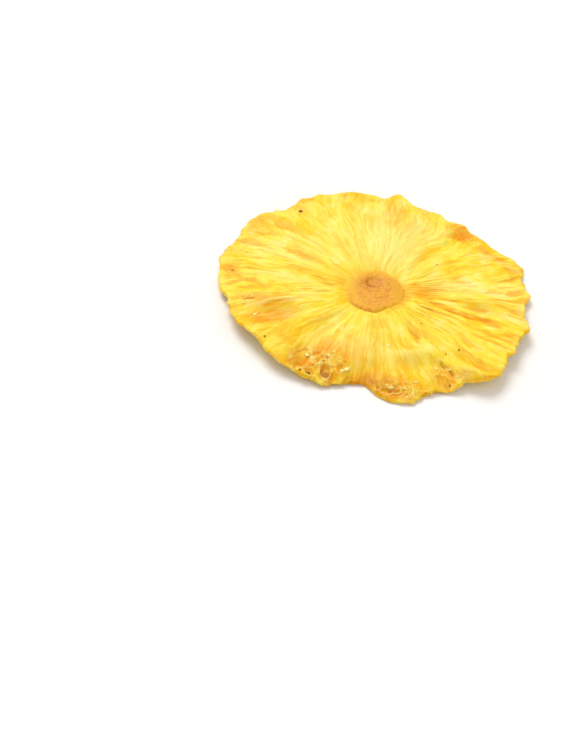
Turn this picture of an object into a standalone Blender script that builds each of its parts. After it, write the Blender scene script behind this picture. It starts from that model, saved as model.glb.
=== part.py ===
"""A dried slice of pineapple: one thin, wavy round of flesh with its woody core left in.

The slice lies as it would on a table, the side shown in the picture up, and rests on three low lobes of its
rim. It is a unit disc, turned from a profile, whose points are then carried to their places by functions of
two coordinates: reach, which is 0 at the core's centre and 1 at the rim, and the angle round the core.
"""

import math
from collections import namedtuple

import bpy
from mathutils import Vector, noise

MM = 0.001

# Driving sizes of the slice. Radii are measured from the core's centre.
RIM_RADIUS = 43.6 * MM
CORE_RADIUS = 9.2 * MM
CORE_THICKNESS = 4.4 * MM
FLESH_THICKNESS = 3.7 * MM
RIM_THICKNESS = 1.9 * MM
LEAST_THICKNESS = 0.8 * MM
CORE_MID_HEIGHT = 2.9 * MM

# The core's centre, placed so that the slice's own box is centred on the origin.
CORE_X = 0.62 * MM
CORE_Y = -2.98 * MM

# The rim comes down to the table in three lobes and arches up between them, highest at the back. At the front
# the flesh stays up for longer and then bends down steeply.
LOBES = 3
LOBE_ANGLE = 40.0
LOBE_MID_HEIGHT = 0.12 * MM
ARCH_HEIGHT = 4.4 * MM
ARCH_LEAN = 1.0 * MM
ARCH_LEAN_ANGLE = 100.0
RIM_BEND = 2.1
FRONT_BEND = 5.5
FRONT_BEND_ANGLE = -100.0
FRONT_BEND_HALF_WIDTH = 13.0
RIM_RIPPLE = 0.9 * MM

# One scallop of the rim for each fruitlet that the knife went through.
FRUITLETS = 13
FRUITLET_SCALLOP = 0.5 * MM

# The outline is off centre and a little oval, with a ragged edge.
OUTLINE_SHIFT = 2.2 * MM
OUTLINE_SHIFT_ANGLE = 82.0
OUTLINE_OVAL = 1.7 * MM
OUTLINE_OVAL_ANGLE = 2.0
RAGGED_EDGE = 0.55 * MM

# Angles in degrees from +X, anticlockwise seen from above; reach is outwards, so a notch is negative.
RimFeature = namedtuple("RimFeature", "angle half_width reach")
RIM_FEATURES = (
    RimFeature(-160.0, 12.0, -1.2 * MM),
    RimFeature(-138.0, 7.0, -1.2 * MM),
    RimFeature(-97.0, 6.0, -1.8 * MM),
    RimFeature(-90.0, 7.0, -4.0 * MM),
    RimFeature(-74.5, 7.0, 2.0 * MM),
    RimFeature(-60.5, 3.5, -0.9 * MM),
    RimFeature(-47.0, 2.6, -1.3 * MM),
    RimFeature(-35.5, 6.0, 3.0 * MM),
    RimFeature(-14.0, 4.0, -1.4 * MM),
    RimFeature(6.0, 7.0, -2.3 * MM),
    RimFeature(33.0, 6.0, 2.6 * MM),
    RimFeature(50.0, 7.0, 1.4 * MM),
    RimFeature(60.0, 2.6, 1.2 * MM),
    RimFeature(86.0, 3.0, 2.2 * MM),
    RimFeature(93.0, 2.8, -1.2 * MM),
    RimFeature(120.0, 4.0, 1.4 * MM),
    RimFeature(133.0, 2.2, -1.6 * MM),
    RimFeature(143.0, 10.0, 2.9 * MM),
    RimFeature(166.0, 6.0, 1.6 * MM),
)

# Radial furrows that the fibres leave as the flesh shrinks: how close they lie, their depth and their seed.
Furrows = namedtuple("Furrows", "detail depth seed")
TOP_FURROWS = (
    Furrows(3.4, 0.30 * MM, 11.0),
    Furrows(7.5, 0.42 * MM, 23.0),
)
BOTTOM_FURROWS = (
    Furrows(3.0, 0.30 * MM, 37.0),
    Furrows(6.8, 0.38 * MM, 53.0),
)
FURROW_DRIFT = 1.3

# A dent, or with a negative depth a ridge: x and y from the core's centre, and the direction of its length.
Dent = namedtuple("Dent", "x y half_length half_width direction depth")
TOP_DENTS = (
    Dent(-0.9 * MM, 4.2 * MM, 2.2 * MM, 2.2 * MM, 0.0, 0.7 * MM),
    Dent(12.8 * MM, -15.2 * MM, 5.0 * MM, 1.6 * MM, -62.0, 1.0 * MM),
    Dent(21.2 * MM, -27.4 * MM, 7.0 * MM, 1.7 * MM, -58.0, 1.3 * MM),
    Dent(13.6 * MM, -23.4 * MM, 5.5 * MM, 2.2 * MM, 14.0, -1.2 * MM),
    Dent(29.0 * MM, -23.8 * MM, 7.0 * MM, 1.8 * MM, -20.0, 1.2 * MM),
    Dent(32.4 * MM, -28.4 * MM, 6.0 * MM, 2.0 * MM, -19.0, -1.7 * MM),
    Dent(-18.2 * MM, -32.0 * MM, 4.2 * MM, 2.6 * MM, 60.0, 1.1 * MM),
    Dent(-10.2 * MM, -35.4 * MM, 4.6 * MM, 2.2 * MM, 100.0, 1.2 * MM),
    Dent(2.5 * MM, -32.0 * MM, 5.0 * MM, 2.8 * MM, 5.0, 0.7 * MM),
    Dent(22.9 * MM, -33.8 * MM, 4.2 * MM, 2.2 * MM, -50.0, 0.9 * MM),
    Dent(-26.0 * MM, -11.5 * MM, 8.0 * MM, 2.3 * MM, 12.0, -1.1 * MM),
    Dent(-27.5 * MM, -18.0 * MM, 7.0 * MM, 2.8 * MM, 33.0, 1.3 * MM),
    Dent(29.0 * MM, -0.6 * MM, 12.0 * MM, 1.6 * MM, -10.0, 0.9 * MM),
    Dent(-35.0 * MM, 7.0 * MM, 7.0 * MM, 1.9 * MM, -24.0, 0.7 * MM),
    Dent(20.0 * MM, 29.0 * MM, 6.0 * MM, 2.2 * MM, 55.0, 0.6 * MM),
    Dent(-20.0 * MM, 26.0 * MM, 7.0 * MM, 2.4 * MM, 125.0, 0.6 * MM),
)
BOTTOM_DENTS = (
    Dent(1.0 * MM, -1.0 * MM, 3.0 * MM, 2.6 * MM, 0.0, 0.5 * MM),
    Dent(12.0 * MM, 25.0 * MM, 8.0 * MM, 2.2 * MM, 66.0, 0.7 * MM),
    Dent(-16.0 * MM, -29.0 * MM, 7.0 * MM, 2.4 * MM, 60.0, 0.7 * MM),
    Dent(-26.0 * MM, 12.0 * MM, 8.0 * MM, 2.4 * MM, 155.0, 0.7 * MM),
    Dent(20.0 * MM, -22.0 * MM, 7.0 * MM, 2.2 * MM, -48.0, 0.7 * MM),
)

# The core's face lies a little below the flesh round it, on both sides.
CORE_STEP = 0.65 * MM
CORE_RAGGED = 1.1 * MM

# The unit disc: rings of its profile and steps round it. The core takes the first share of the reach.
STEPS = 150
CORE_SHARE = 0.2
CORE_SHOULDER = 0.25
CORE_RINGS = 3
TOP_RINGS = 15
BOTTOM_RINGS = 10
RIM_NOSE = ((0.988, 0.74), (1.0, 0.0), (0.988, -0.74))
LAST_RING = 0.965
SCREW_MERGE = 0.00001

FLESH_COLOUR = (0.90, 0.68, 0.10, 1.0)
FLESH_ROUGHNESS = 0.5


def clear_scene():
    """Remove every object of the scene."""
    for obj in list(bpy.data.objects):
        bpy.data.objects.remove(obj, do_unlink=True)


def hill(distance):
    """A smooth hill, 1 at no distance and 0 from a distance of 2 on."""
    if abs(distance) >= 2.0:
        return 0.0
    return math.cos(0.25 * math.pi * distance) ** 2


def blend(low, high, value):
    """Smooth rise from 0 at low to 1 at high."""
    share = min(max((value - low) / (high - low), 0.0), 1.0)
    return share * share * (3.0 - 2.0 * share)


def turn_between(angle, centre):
    """Degrees from centre to angle, between -180 and 180."""
    return (math.degrees(angle) - centre + 180.0) % 360.0 - 180.0


def ring_noise(angle, detail, seed):
    """Even noise round the slice, between about -1 and 1, closer together with more detail."""
    return 1.6 * noise.noise(Vector((detail * math.cos(angle), detail * math.sin(angle), seed)))


def rim_radius(angle):
    """Distance of the rim from the core's centre."""
    radius = RIM_RADIUS
    radius += OUTLINE_SHIFT * math.cos(angle - math.radians(OUTLINE_SHIFT_ANGLE))
    radius += OUTLINE_OVAL * math.cos(2.0 * (angle - math.radians(OUTLINE_OVAL_ANGLE)))
    radius += FRUITLET_SCALLOP * abs(math.sin(0.5 * FRUITLETS * angle))
    radius += RAGGED_EDGE * ring_noise(angle, 5.0, 3.7)
    radius += RAGGED_EDGE * ring_noise(angle, 13.0, 8.1)
    for feature in RIM_FEATURES:
        radius += feature.reach * hill(turn_between(angle, feature.angle) / feature.half_width)
    return radius


def core_radius(angle):
    """Distance of the core's edge from its centre."""
    return CORE_RADIUS + CORE_RAGGED * ring_noise(angle, 1.6, 5.5)


def radius_at(reach, angle):
    """Distance from the core's centre of the point at a reach: the core's edge is a ring of its own."""
    inner = core_radius(angle)
    if reach <= CORE_SHARE:
        return inner * reach / CORE_SHARE
    return inner + (rim_radius(angle) - inner) * (reach - CORE_SHARE) / (1.0 - CORE_SHARE)


def mid_height(reach, angle):
    """Height of the slice's middle: level at the core, waving at the rim."""
    rise = 0.5 - 0.5 * math.cos(LOBES * (angle - math.radians(LOBE_ANGLE)))
    arch = ARCH_HEIGHT + ARCH_LEAN * math.cos(angle - math.radians(ARCH_LEAN_ANGLE))
    ripple = RIM_RIPPLE * ring_noise(angle, 2.3, 71.0) * math.sqrt(rise)
    rim = LOBE_MID_HEIGHT + arch * rise
    bend = RIM_BEND + FRONT_BEND * hill(turn_between(angle, FRONT_BEND_ANGLE) / FRONT_BEND_HALF_WIDTH)
    return CORE_MID_HEIGHT + (rim - CORE_MID_HEIGHT) * reach**bend + ripple * reach**5


def thickness(reach):
    """Thickness of the slice: thickest at the core, thin at the rim."""
    flesh = FLESH_THICKNESS + (RIM_THICKNESS - FLESH_THICKNESS) * blend(0.45, 1.0, reach)
    return flesh + (CORE_THICKNESS - FLESH_THICKNESS) * (1.0 - blend(0.12, 0.34, reach))


def furrow_height(furrows, reach, angle):
    """Height of the radial furrows, which start at the core's edge and wander a little on their way out."""
    share = blend(CORE_SHARE, 0.36, reach) * (1.0 - 0.5 * blend(0.85, 1.0, reach))
    drift = FURROW_DRIFT * reach
    return share * sum(row.depth * ring_noise(angle, row.detail, row.seed + drift) for row in furrows)


def dent_height(dents, x, y):
    """Height that the dents and ridges add at a place, negative in a dent."""
    height = 0.0
    for dent in dents:
        turned = math.radians(dent.direction)
        along = (x - dent.x) * math.cos(turned) + (y - dent.y) * math.sin(turned)
        across = (y - dent.y) * math.cos(turned) - (x - dent.x) * math.sin(turned)
        distance = math.hypot(along / dent.half_length, across / dent.half_width)
        height -= dent.depth * hill(distance)
    return height


def core_dip(reach):
    """How far the core's face lies below the flesh."""
    return CORE_STEP * (1.0 - blend(CORE_SHARE * 0.95, CORE_SHARE * 1.35, reach))


def faces_at(reach, angle):
    """Heights of the lower and the upper face at a place. Nothing reaches below the table, at height 0."""
    radius = radius_at(reach, angle)
    x, y = radius * math.cos(angle), radius * math.sin(angle)
    middle = mid_height(reach, angle)
    half = 0.5 * thickness(reach)
    lower = middle - half - furrow_height(BOTTOM_FURROWS, reach, angle) - dent_height(BOTTOM_DENTS, x, y)
    upper = middle + half + furrow_height(TOP_FURROWS, reach, angle) + dent_height(TOP_DENTS, x, y)
    lower = max(lower + core_dip(reach), 0.0)
    upper = max(upper - core_dip(reach), lower + LEAST_THICKNESS)
    return lower, upper


def rings(count):
    """Reaches of the rings of one face, from the first one round the centre to the last before the rim."""
    core = [CORE_SHARE * (ring + 1) / CORE_RINGS for ring in range(CORE_RINGS)]
    outer = count - CORE_RINGS - 1
    flesh = [CORE_SHOULDER + (LAST_RING - CORE_SHOULDER) * ring / outer for ring in range(outer + 1)]
    return core + flesh


def disc_profile():
    """Profile of the unit disc, out along the upper face, round the rim and back along the lower one."""
    upper = [(reach, 1.0) for reach in [0.0, *rings(TOP_RINGS)]]
    lower = [(reach, -1.0) for reach in reversed([0.0, *rings(BOTTOM_RINGS)])]
    return [*upper, *RIM_NOSE, *lower]


def unit_disc():
    """The unit disc as a mesh, turned round +Z from its profile."""
    profile = disc_profile()
    outline = bpy.data.meshes.new("disc_profile")
    edges = [(point, point + 1) for point in range(len(profile) - 1)]
    outline.from_pydata([(reach, 0.0, side) for reach, side in profile], edges, [])
    turned = bpy.data.objects.new("disc_profile", outline)
    turned.hide_render = True
    bpy.context.scene.collection.objects.link(turned)
    screw = turned.modifiers.new("turn", "SCREW")
    screw.steps = STEPS
    screw.render_steps = STEPS
    screw.use_merge_vertices = True
    screw.merge_threshold = SCREW_MERGE
    bpy.context.view_layer.update()
    graph = bpy.context.evaluated_depsgraph_get()
    disc = bpy.data.meshes.new_from_object(turned.evaluated_get(graph))
    bpy.data.objects.remove(turned, do_unlink=True)
    bpy.data.meshes.remove(outline)
    return disc


def shape_slice(disc):
    """Carry every point of the unit disc to its place in the slice."""
    for vertex in disc.vertices:
        reach = math.hypot(vertex.co.x, vertex.co.y)
        angle = math.atan2(vertex.co.y, vertex.co.x)
        lower, upper = faces_at(reach, angle)
        radius = radius_at(reach, angle)
        vertex.co = (
            CORE_X + radius * math.cos(angle),
            CORE_Y + radius * math.sin(angle),
            lower + (upper - lower) * (0.5 + 0.5 * vertex.co.z),
        )
    disc.update()


def flesh_material():
    """Yellow dried flesh."""
    material = bpy.data.materials.new("dried_flesh")
    material.use_nodes = True
    shader = material.node_tree.nodes["Principled BSDF"]
    shader.inputs["Base Color"].default_value = FLESH_COLOUR
    shader.inputs["Roughness"].default_value = FLESH_ROUGHNESS
    shader.inputs["Metallic"].default_value = 0.0
    material.diffuse_color = FLESH_COLOUR
    return material


def build_slice(collection):
    """The slice, as one solid."""
    mesh = unit_disc()
    mesh.name = "pineapple_slice"
    shape_slice(mesh)
    mesh.shade_smooth()
    mesh.materials.append(flesh_material())
    collection.objects.link(bpy.data.objects.new("pineapple_slice", mesh))


def main():
    """Build the model in a collection of its own."""
    clear_scene()
    collection = bpy.data.collections.new("dried_pineapple_slice")
    bpy.context.scene.collection.children.link(collection)
    build_slice(collection)


main()
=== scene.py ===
"""Looks of a dried slice of pineapple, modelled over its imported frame.

The slice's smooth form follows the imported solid. On it come the fibres, slits, pockets and ragged rim of the
real flesh, its woody core, seeds, loose strands and torn membranes, and a procedural finish for each.
"""

import logging
import math
import random
from dataclasses import dataclass, field
from enum import Enum
from functools import cached_property

import bmesh
import bpy
from mathutils import Matrix, Quaternion, Vector, noise


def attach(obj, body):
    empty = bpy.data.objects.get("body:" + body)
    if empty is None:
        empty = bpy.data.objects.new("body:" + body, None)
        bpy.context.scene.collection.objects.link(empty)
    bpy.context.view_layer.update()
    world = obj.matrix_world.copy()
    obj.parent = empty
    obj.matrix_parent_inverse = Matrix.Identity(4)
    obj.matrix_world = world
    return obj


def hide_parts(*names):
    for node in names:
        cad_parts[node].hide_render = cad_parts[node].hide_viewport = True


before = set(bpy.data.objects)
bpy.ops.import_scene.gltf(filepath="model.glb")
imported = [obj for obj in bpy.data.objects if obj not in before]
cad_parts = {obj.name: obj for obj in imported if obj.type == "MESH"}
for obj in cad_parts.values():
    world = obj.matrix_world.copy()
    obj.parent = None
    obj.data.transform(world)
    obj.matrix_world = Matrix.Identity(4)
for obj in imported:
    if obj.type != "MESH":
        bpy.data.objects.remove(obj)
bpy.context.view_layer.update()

logging.basicConfig(level=logging.INFO, format="%(message)s")
log = logging.getLogger("slice")

MM = 0.001
NODE = "pineapple_slice"
PHOTO_WIDTH = 571
PHOTO_HEIGHT = 741

Colour = tuple[float, float, float]


class Side(Enum):
    """The two faces of the slice."""

    UPPER = 1
    LOWER = -1


class Tone(Enum):
    """Tones that the flesh takes, each a mask on the skin; some also carry painted light and shade."""

    PALE = "pale"
    GOLD = "gold"
    ORANGE = "orange"
    BROWN = "brown"


def hill(distance: float) -> float:
    """A smooth hill, 1 at no distance and 0 from a distance of 2 on."""
    if abs(distance) >= 2.0:
        return 0.0
    return math.cos(0.25 * math.pi * distance) ** 2


def blend(low: float, high: float, value: float) -> float:
    """Smooth rise from 0 at low to 1 at high."""
    share = min(max((value - low) / (high - low), 0.0), 1.0)
    return share * share * (3.0 - 2.0 * share)


def turn_between(angle: float, centre: float) -> float:
    """Degrees from centre to angle, between -180 and 180."""
    return (math.degrees(angle) - centre + 180.0) % 360.0 - 180.0


def ring_noise(angle: float, detail: float, seed: float) -> float:
    """Even noise round the slice, between about -1 and 1, closer together with more detail."""
    return 1.6 * noise.noise(Vector((detail * math.cos(angle), detail * math.sin(angle), seed)))


def flat_noise(x: float, y: float, size: float, seed: float) -> float:
    """Even noise over the slice, between about -1 and 1, with spots of about the given size."""
    return 1.6 * noise.noise(Vector((x / size, y / size, seed)))


def linear(red: int, green: int, blue: int) -> Colour:
    """Linear colour of a colour given in the 0 to 255 steps of a screen."""

    def channel(step: int) -> float:
        """One channel's linear share."""
        share = step / 255.0
        return share / 12.92 if share <= 0.04045 else ((share + 0.055) / 1.055) ** 2.4

    return channel(red), channel(green), channel(blue)


@dataclass(frozen=True)
class RimFeature:
    """A bump or notch of the outline: its angle and half width in degrees, and how far it reaches out."""

    angle: float
    half_width: float
    reach: float


@dataclass(frozen=True)
class Furrows:
    """Broad radial furrows: how close they lie, their depth and their seed."""

    detail: float
    depth: float
    seed: float


@dataclass(frozen=True)
class Spot:
    """A long round spot on a face, in metres from the core's centre, its length turned in degrees."""

    x: float
    y: float
    half_length: float
    half_width: float
    direction: float = 0.0

    @cached_property
    def turning(self) -> tuple[float, float, float]:
        """How far it may matter, and the cosine and sine of its direction."""
        turned = math.radians(self.direction)
        return 2.0 * max(self.half_length, self.half_width), math.cos(turned), math.sin(turned)

    def distance(self, x: float, y: float) -> float:
        """Distance of a place from the spot's centre, 1 on its edge and 3 wherever it is far off."""
        span, cosine, sine = self.turning
        right, back = x - self.x, y - self.y
        if abs(right) > span or abs(back) > span:
            return 3.0
        along, across = right * cosine + back * sine, back * cosine - right * sine
        return math.hypot(along / self.half_length, across / self.half_width)


@dataclass(frozen=True)
class Dent(Spot):
    """A soft dent, or with a negative depth a ridge."""

    depth: float = 0.0


@dataclass(frozen=True)
class Pocket(Spot):
    """A steep pocket with a raised lip, as a seed cavity leaves."""

    depth: float = 0.0
    lip: float = 0.0


@dataclass(frozen=True)
class Stain(Spot):
    """A place where the flesh takes another tone, sunk by its groove, or raised where that is negative."""

    tone: Tone = Tone.ORANGE
    strength: float = 1.0
    groove: float = 0.0


@dataclass(frozen=True)
class Oval:
    """A spot in millimetres: its place from the core's centre, its half sizes and its direction."""

    x: float
    y: float
    length: float
    width: float
    direction: float = 0.0

    @classmethod
    def between(cls, start: tuple[float, float], end: tuple[float, float], width: float) -> "Oval":
        """A long oval from one place to another, with its half width."""
        right, back = end[0] - start[0], end[1] - start[1]
        middle = (0.5 * (start[0] + end[0]), 0.5 * (start[1] + end[1]))
        return cls(*middle, 0.5 * math.hypot(right, back), width, math.degrees(math.atan2(back, right)))

    def made(self, kind: type, **more) -> Spot:
        """The spot of a kind that it stands for, in metres, with the kind's own values."""
        return kind(self.x * MM, self.y * MM, self.length * MM, self.width * MM, self.direction, **more)


def spot(*oval: float) -> Spot:
    """A plain spot: the oval's values in millimetres."""
    return Oval(*oval).made(Spot)


def dent(*values: float) -> Dent:
    """A dent: the oval's values and its depth, in millimetres."""
    *oval, depth = values
    return Oval(*oval).made(Dent, depth=depth * MM)


def pocket(*values: float) -> Pocket:
    """A pocket: the oval's values, its depth and its lip's height, in millimetres."""
    *oval, depth, lip = values
    return Oval(*oval).made(Pocket, depth=depth * MM, lip=lip * MM)


def stain(tone: Tone, strength: float, *oval: float) -> Stain:
    """A stain: its tone, how strongly it takes it, and the oval's values in millimetres."""
    return Oval(*oval).made(Stain, tone=tone, strength=strength)


def streak(
    tone: Tone,
    strength: float,
    start: tuple[float, float],
    end: tuple[float, float],
    width: float,
    groove: float = 0.0,
) -> Stain:
    """A long stain between two places, all sizes in millimetres.

    Args:
        tone: The tone it takes.
        strength: How strongly it takes it.
        start: One end, from the core's centre.
        end: The other end.
        width: Half width.
        groove: How deep it is sunk.

    Returns:
        The stain, in metres.
    """
    return Oval.between(start, end, width).made(Stain, tone=tone, strength=strength, groove=groove * MM)


@dataclass(frozen=True)
class SliceForm:
    """The slice's smooth form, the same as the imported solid's."""

    core_x: float = 0.62 * MM
    core_y: float = -2.98 * MM
    rim_mean: float = 43.6 * MM
    core_mean: float = 9.2 * MM
    core_thickness: float = 4.4 * MM
    flesh_thickness: float = 3.7 * MM
    rim_thickness: float = 1.9 * MM
    least_thickness: float = 0.8 * MM
    core_mid_height: float = 2.9 * MM
    lobes: int = 3
    lobe_angle: float = 40.0
    lobe_mid_height: float = 0.12 * MM
    arch_height: float = 4.4 * MM
    arch_lean: float = 1.0 * MM
    arch_lean_angle: float = 100.0
    rim_bend: float = 2.1
    front_bend: float = 5.5
    front_bend_angle: float = -100.0
    front_bend_half_width: float = 13.0
    rim_ripple: float = 0.9 * MM
    fruitlets: int = 13
    fruitlet_scallop: float = 0.5 * MM
    outline_shift: float = 2.2 * MM
    outline_shift_angle: float = 82.0
    outline_oval: float = 1.7 * MM
    outline_oval_angle: float = 2.0
    ragged_edge: float = 0.55 * MM
    core_step: float = 0.65 * MM
    core_ragged: float = 1.1 * MM
    core_share: float = 0.2
    furrow_drift: float = 1.3
    rim_features: tuple[RimFeature, ...] = (
        RimFeature(-160.0, 12.0, -1.2 * MM),
        RimFeature(-138.0, 7.0, -1.2 * MM),
        RimFeature(-97.0, 6.0, -1.8 * MM),
        RimFeature(-90.0, 7.0, -4.0 * MM),
        RimFeature(-74.5, 7.0, 2.0 * MM),
        RimFeature(-60.5, 3.5, -0.9 * MM),
        RimFeature(-47.0, 2.6, -1.3 * MM),
        RimFeature(-35.5, 6.0, 3.0 * MM),
        RimFeature(-14.0, 4.0, -1.4 * MM),
        RimFeature(6.0, 7.0, -2.3 * MM),
        RimFeature(33.0, 6.0, 2.6 * MM),
        RimFeature(50.0, 7.0, 1.4 * MM),
        RimFeature(60.0, 2.6, 1.2 * MM),
        RimFeature(86.0, 3.0, 2.2 * MM),
        RimFeature(93.0, 2.8, -1.2 * MM),
        RimFeature(120.0, 4.0, 1.4 * MM),
        RimFeature(133.0, 2.2, -1.6 * MM),
        RimFeature(143.0, 10.0, 2.9 * MM),
        RimFeature(166.0, 6.0, 1.6 * MM),
    )
    top_furrows: tuple[Furrows, ...] = (Furrows(3.4, 0.30 * MM, 11.0), Furrows(7.5, 0.42 * MM, 23.0))
    bottom_furrows: tuple[Furrows, ...] = (Furrows(3.0, 0.30 * MM, 37.0), Furrows(6.8, 0.38 * MM, 53.0))
    top_dents: tuple[Spot, ...] = (
        dent(-0.9, 4.2, 2.2, 2.2, 0.0, 0.7),
        dent(12.8, -15.2, 5.0, 1.6, -62.0, 1.0),
        dent(21.2, -27.4, 7.0, 1.7, -58.0, 1.3),
        dent(13.6, -23.4, 5.5, 2.2, 14.0, -1.2),
        dent(29.0, -23.8, 7.0, 1.8, -20.0, 1.2),
        dent(32.4, -28.4, 6.0, 2.0, -19.0, -1.7),
        dent(-18.2, -32.0, 4.2, 2.6, 60.0, 1.1),
        dent(-10.2, -35.4, 4.6, 2.2, 100.0, 1.2),
        dent(2.5, -32.0, 5.0, 2.8, 5.0, 0.7),
        dent(22.9, -33.8, 4.2, 2.2, -50.0, 0.9),
        dent(-26.0, -11.5, 8.0, 2.3, 12.0, -1.1),
        dent(-27.5, -18.0, 7.0, 2.8, 33.0, 1.3),
        dent(29.0, -0.6, 12.0, 1.6, -10.0, 0.9),
        dent(-35.0, 7.0, 7.0, 1.9, -24.0, 0.7),
        dent(20.0, 29.0, 6.0, 2.2, 55.0, 0.6),
        dent(-20.0, 26.0, 7.0, 2.4, 125.0, 0.6),
    )
    bottom_dents: tuple[Spot, ...] = (
        dent(1.0, -1.0, 3.0, 2.6, 0.0, 0.5),
        dent(12.0, 25.0, 8.0, 2.2, 66.0, 0.7),
        dent(-16.0, -29.0, 7.0, 2.4, 60.0, 0.7),
        dent(-26.0, 12.0, 8.0, 2.4, 155.0, 0.7),
        dent(20.0, -22.0, 7.0, 2.2, -48.0, 0.7),
    )

    def from_core(self, x: float, y: float, height: float) -> Vector:
        """A place given from the core's centre, as the scene has it."""
        return Vector((self.core_x + x, self.core_y + y, height))

    def rim_radius(self, angle: float) -> float:
        """Distance of the rim from the core's centre."""
        radius = self.rim_mean
        radius += self.outline_shift * math.cos(angle - math.radians(self.outline_shift_angle))
        radius += self.outline_oval * math.cos(2.0 * (angle - math.radians(self.outline_oval_angle)))
        radius += self.fruitlet_scallop * abs(math.sin(0.5 * self.fruitlets * angle))
        radius += self.ragged_edge * ring_noise(angle, 5.0, 3.7)
        radius += self.ragged_edge * ring_noise(angle, 13.0, 8.1)
        for feature in self.rim_features:
            radius += feature.reach * hill(turn_between(angle, feature.angle) / feature.half_width)
        return radius

    def core_radius(self, angle: float) -> float:
        """Distance of the core's edge from its centre."""
        return self.core_mean + self.core_ragged * ring_noise(angle, 1.6, 5.5)

    def reach_at(self, radius: float, angle: float, rim: float) -> float:
        """Share of the way out, 0 at the core's centre and 1 at the rim."""
        inner = self.core_radius(angle)
        if radius <= inner:
            return self.core_share * radius / inner
        return self.core_share + (1.0 - self.core_share) * (radius - inner) / (rim - inner)

    def mid_height(self, reach: float, angle: float) -> float:
        """Height of the slice's middle: level at the core, waving at the rim."""
        rise = 0.5 - 0.5 * math.cos(self.lobes * (angle - math.radians(self.lobe_angle)))
        arch = self.arch_height + self.arch_lean * math.cos(angle - math.radians(self.arch_lean_angle))
        ripple = self.rim_ripple * ring_noise(angle, 2.3, 71.0) * math.sqrt(rise)
        rim = self.lobe_mid_height + arch * rise
        middle = self.core_mid_height
        front = hill(turn_between(angle, self.front_bend_angle) / self.front_bend_half_width)
        bend = self.rim_bend + self.front_bend * front
        return middle + (rim - middle) * reach**bend + ripple * reach**5

    def thickness(self, reach: float) -> float:
        """Thickness of the slice: thickest at the core, thin at the rim."""
        flesh = self.flesh_thickness
        core = (self.core_thickness - flesh) * (1.0 - blend(0.12, 0.34, reach))
        return flesh + (self.rim_thickness - flesh) * blend(0.45, 1.0, reach) + core

    def furrow_height(self, side: Side, reach: float, angle: float) -> float:
        """Height of the broad furrows of one face."""
        furrows = self.top_furrows if side is Side.UPPER else self.bottom_furrows
        share = blend(self.core_share, 0.36, reach) * (1.0 - 0.5 * blend(0.85, 1.0, reach))
        drift = self.furrow_drift * reach
        return share * sum(row.depth * ring_noise(angle, row.detail, row.seed + drift) for row in furrows)

    def dent_height(self, side: Side, x: float, y: float) -> float:
        """Height that the soft dents and ridges of one face add, negative in a dent."""
        dents = self.top_dents if side is Side.UPPER else self.bottom_dents
        return -sum(row.depth * hill(row.distance(x, y)) for row in dents)

    def core_dip(self, reach: float) -> float:
        """How far the core's face lies below the flesh."""
        return self.core_step * (1.0 - blend(self.core_share * 0.95, self.core_share * 1.35, reach))


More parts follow.
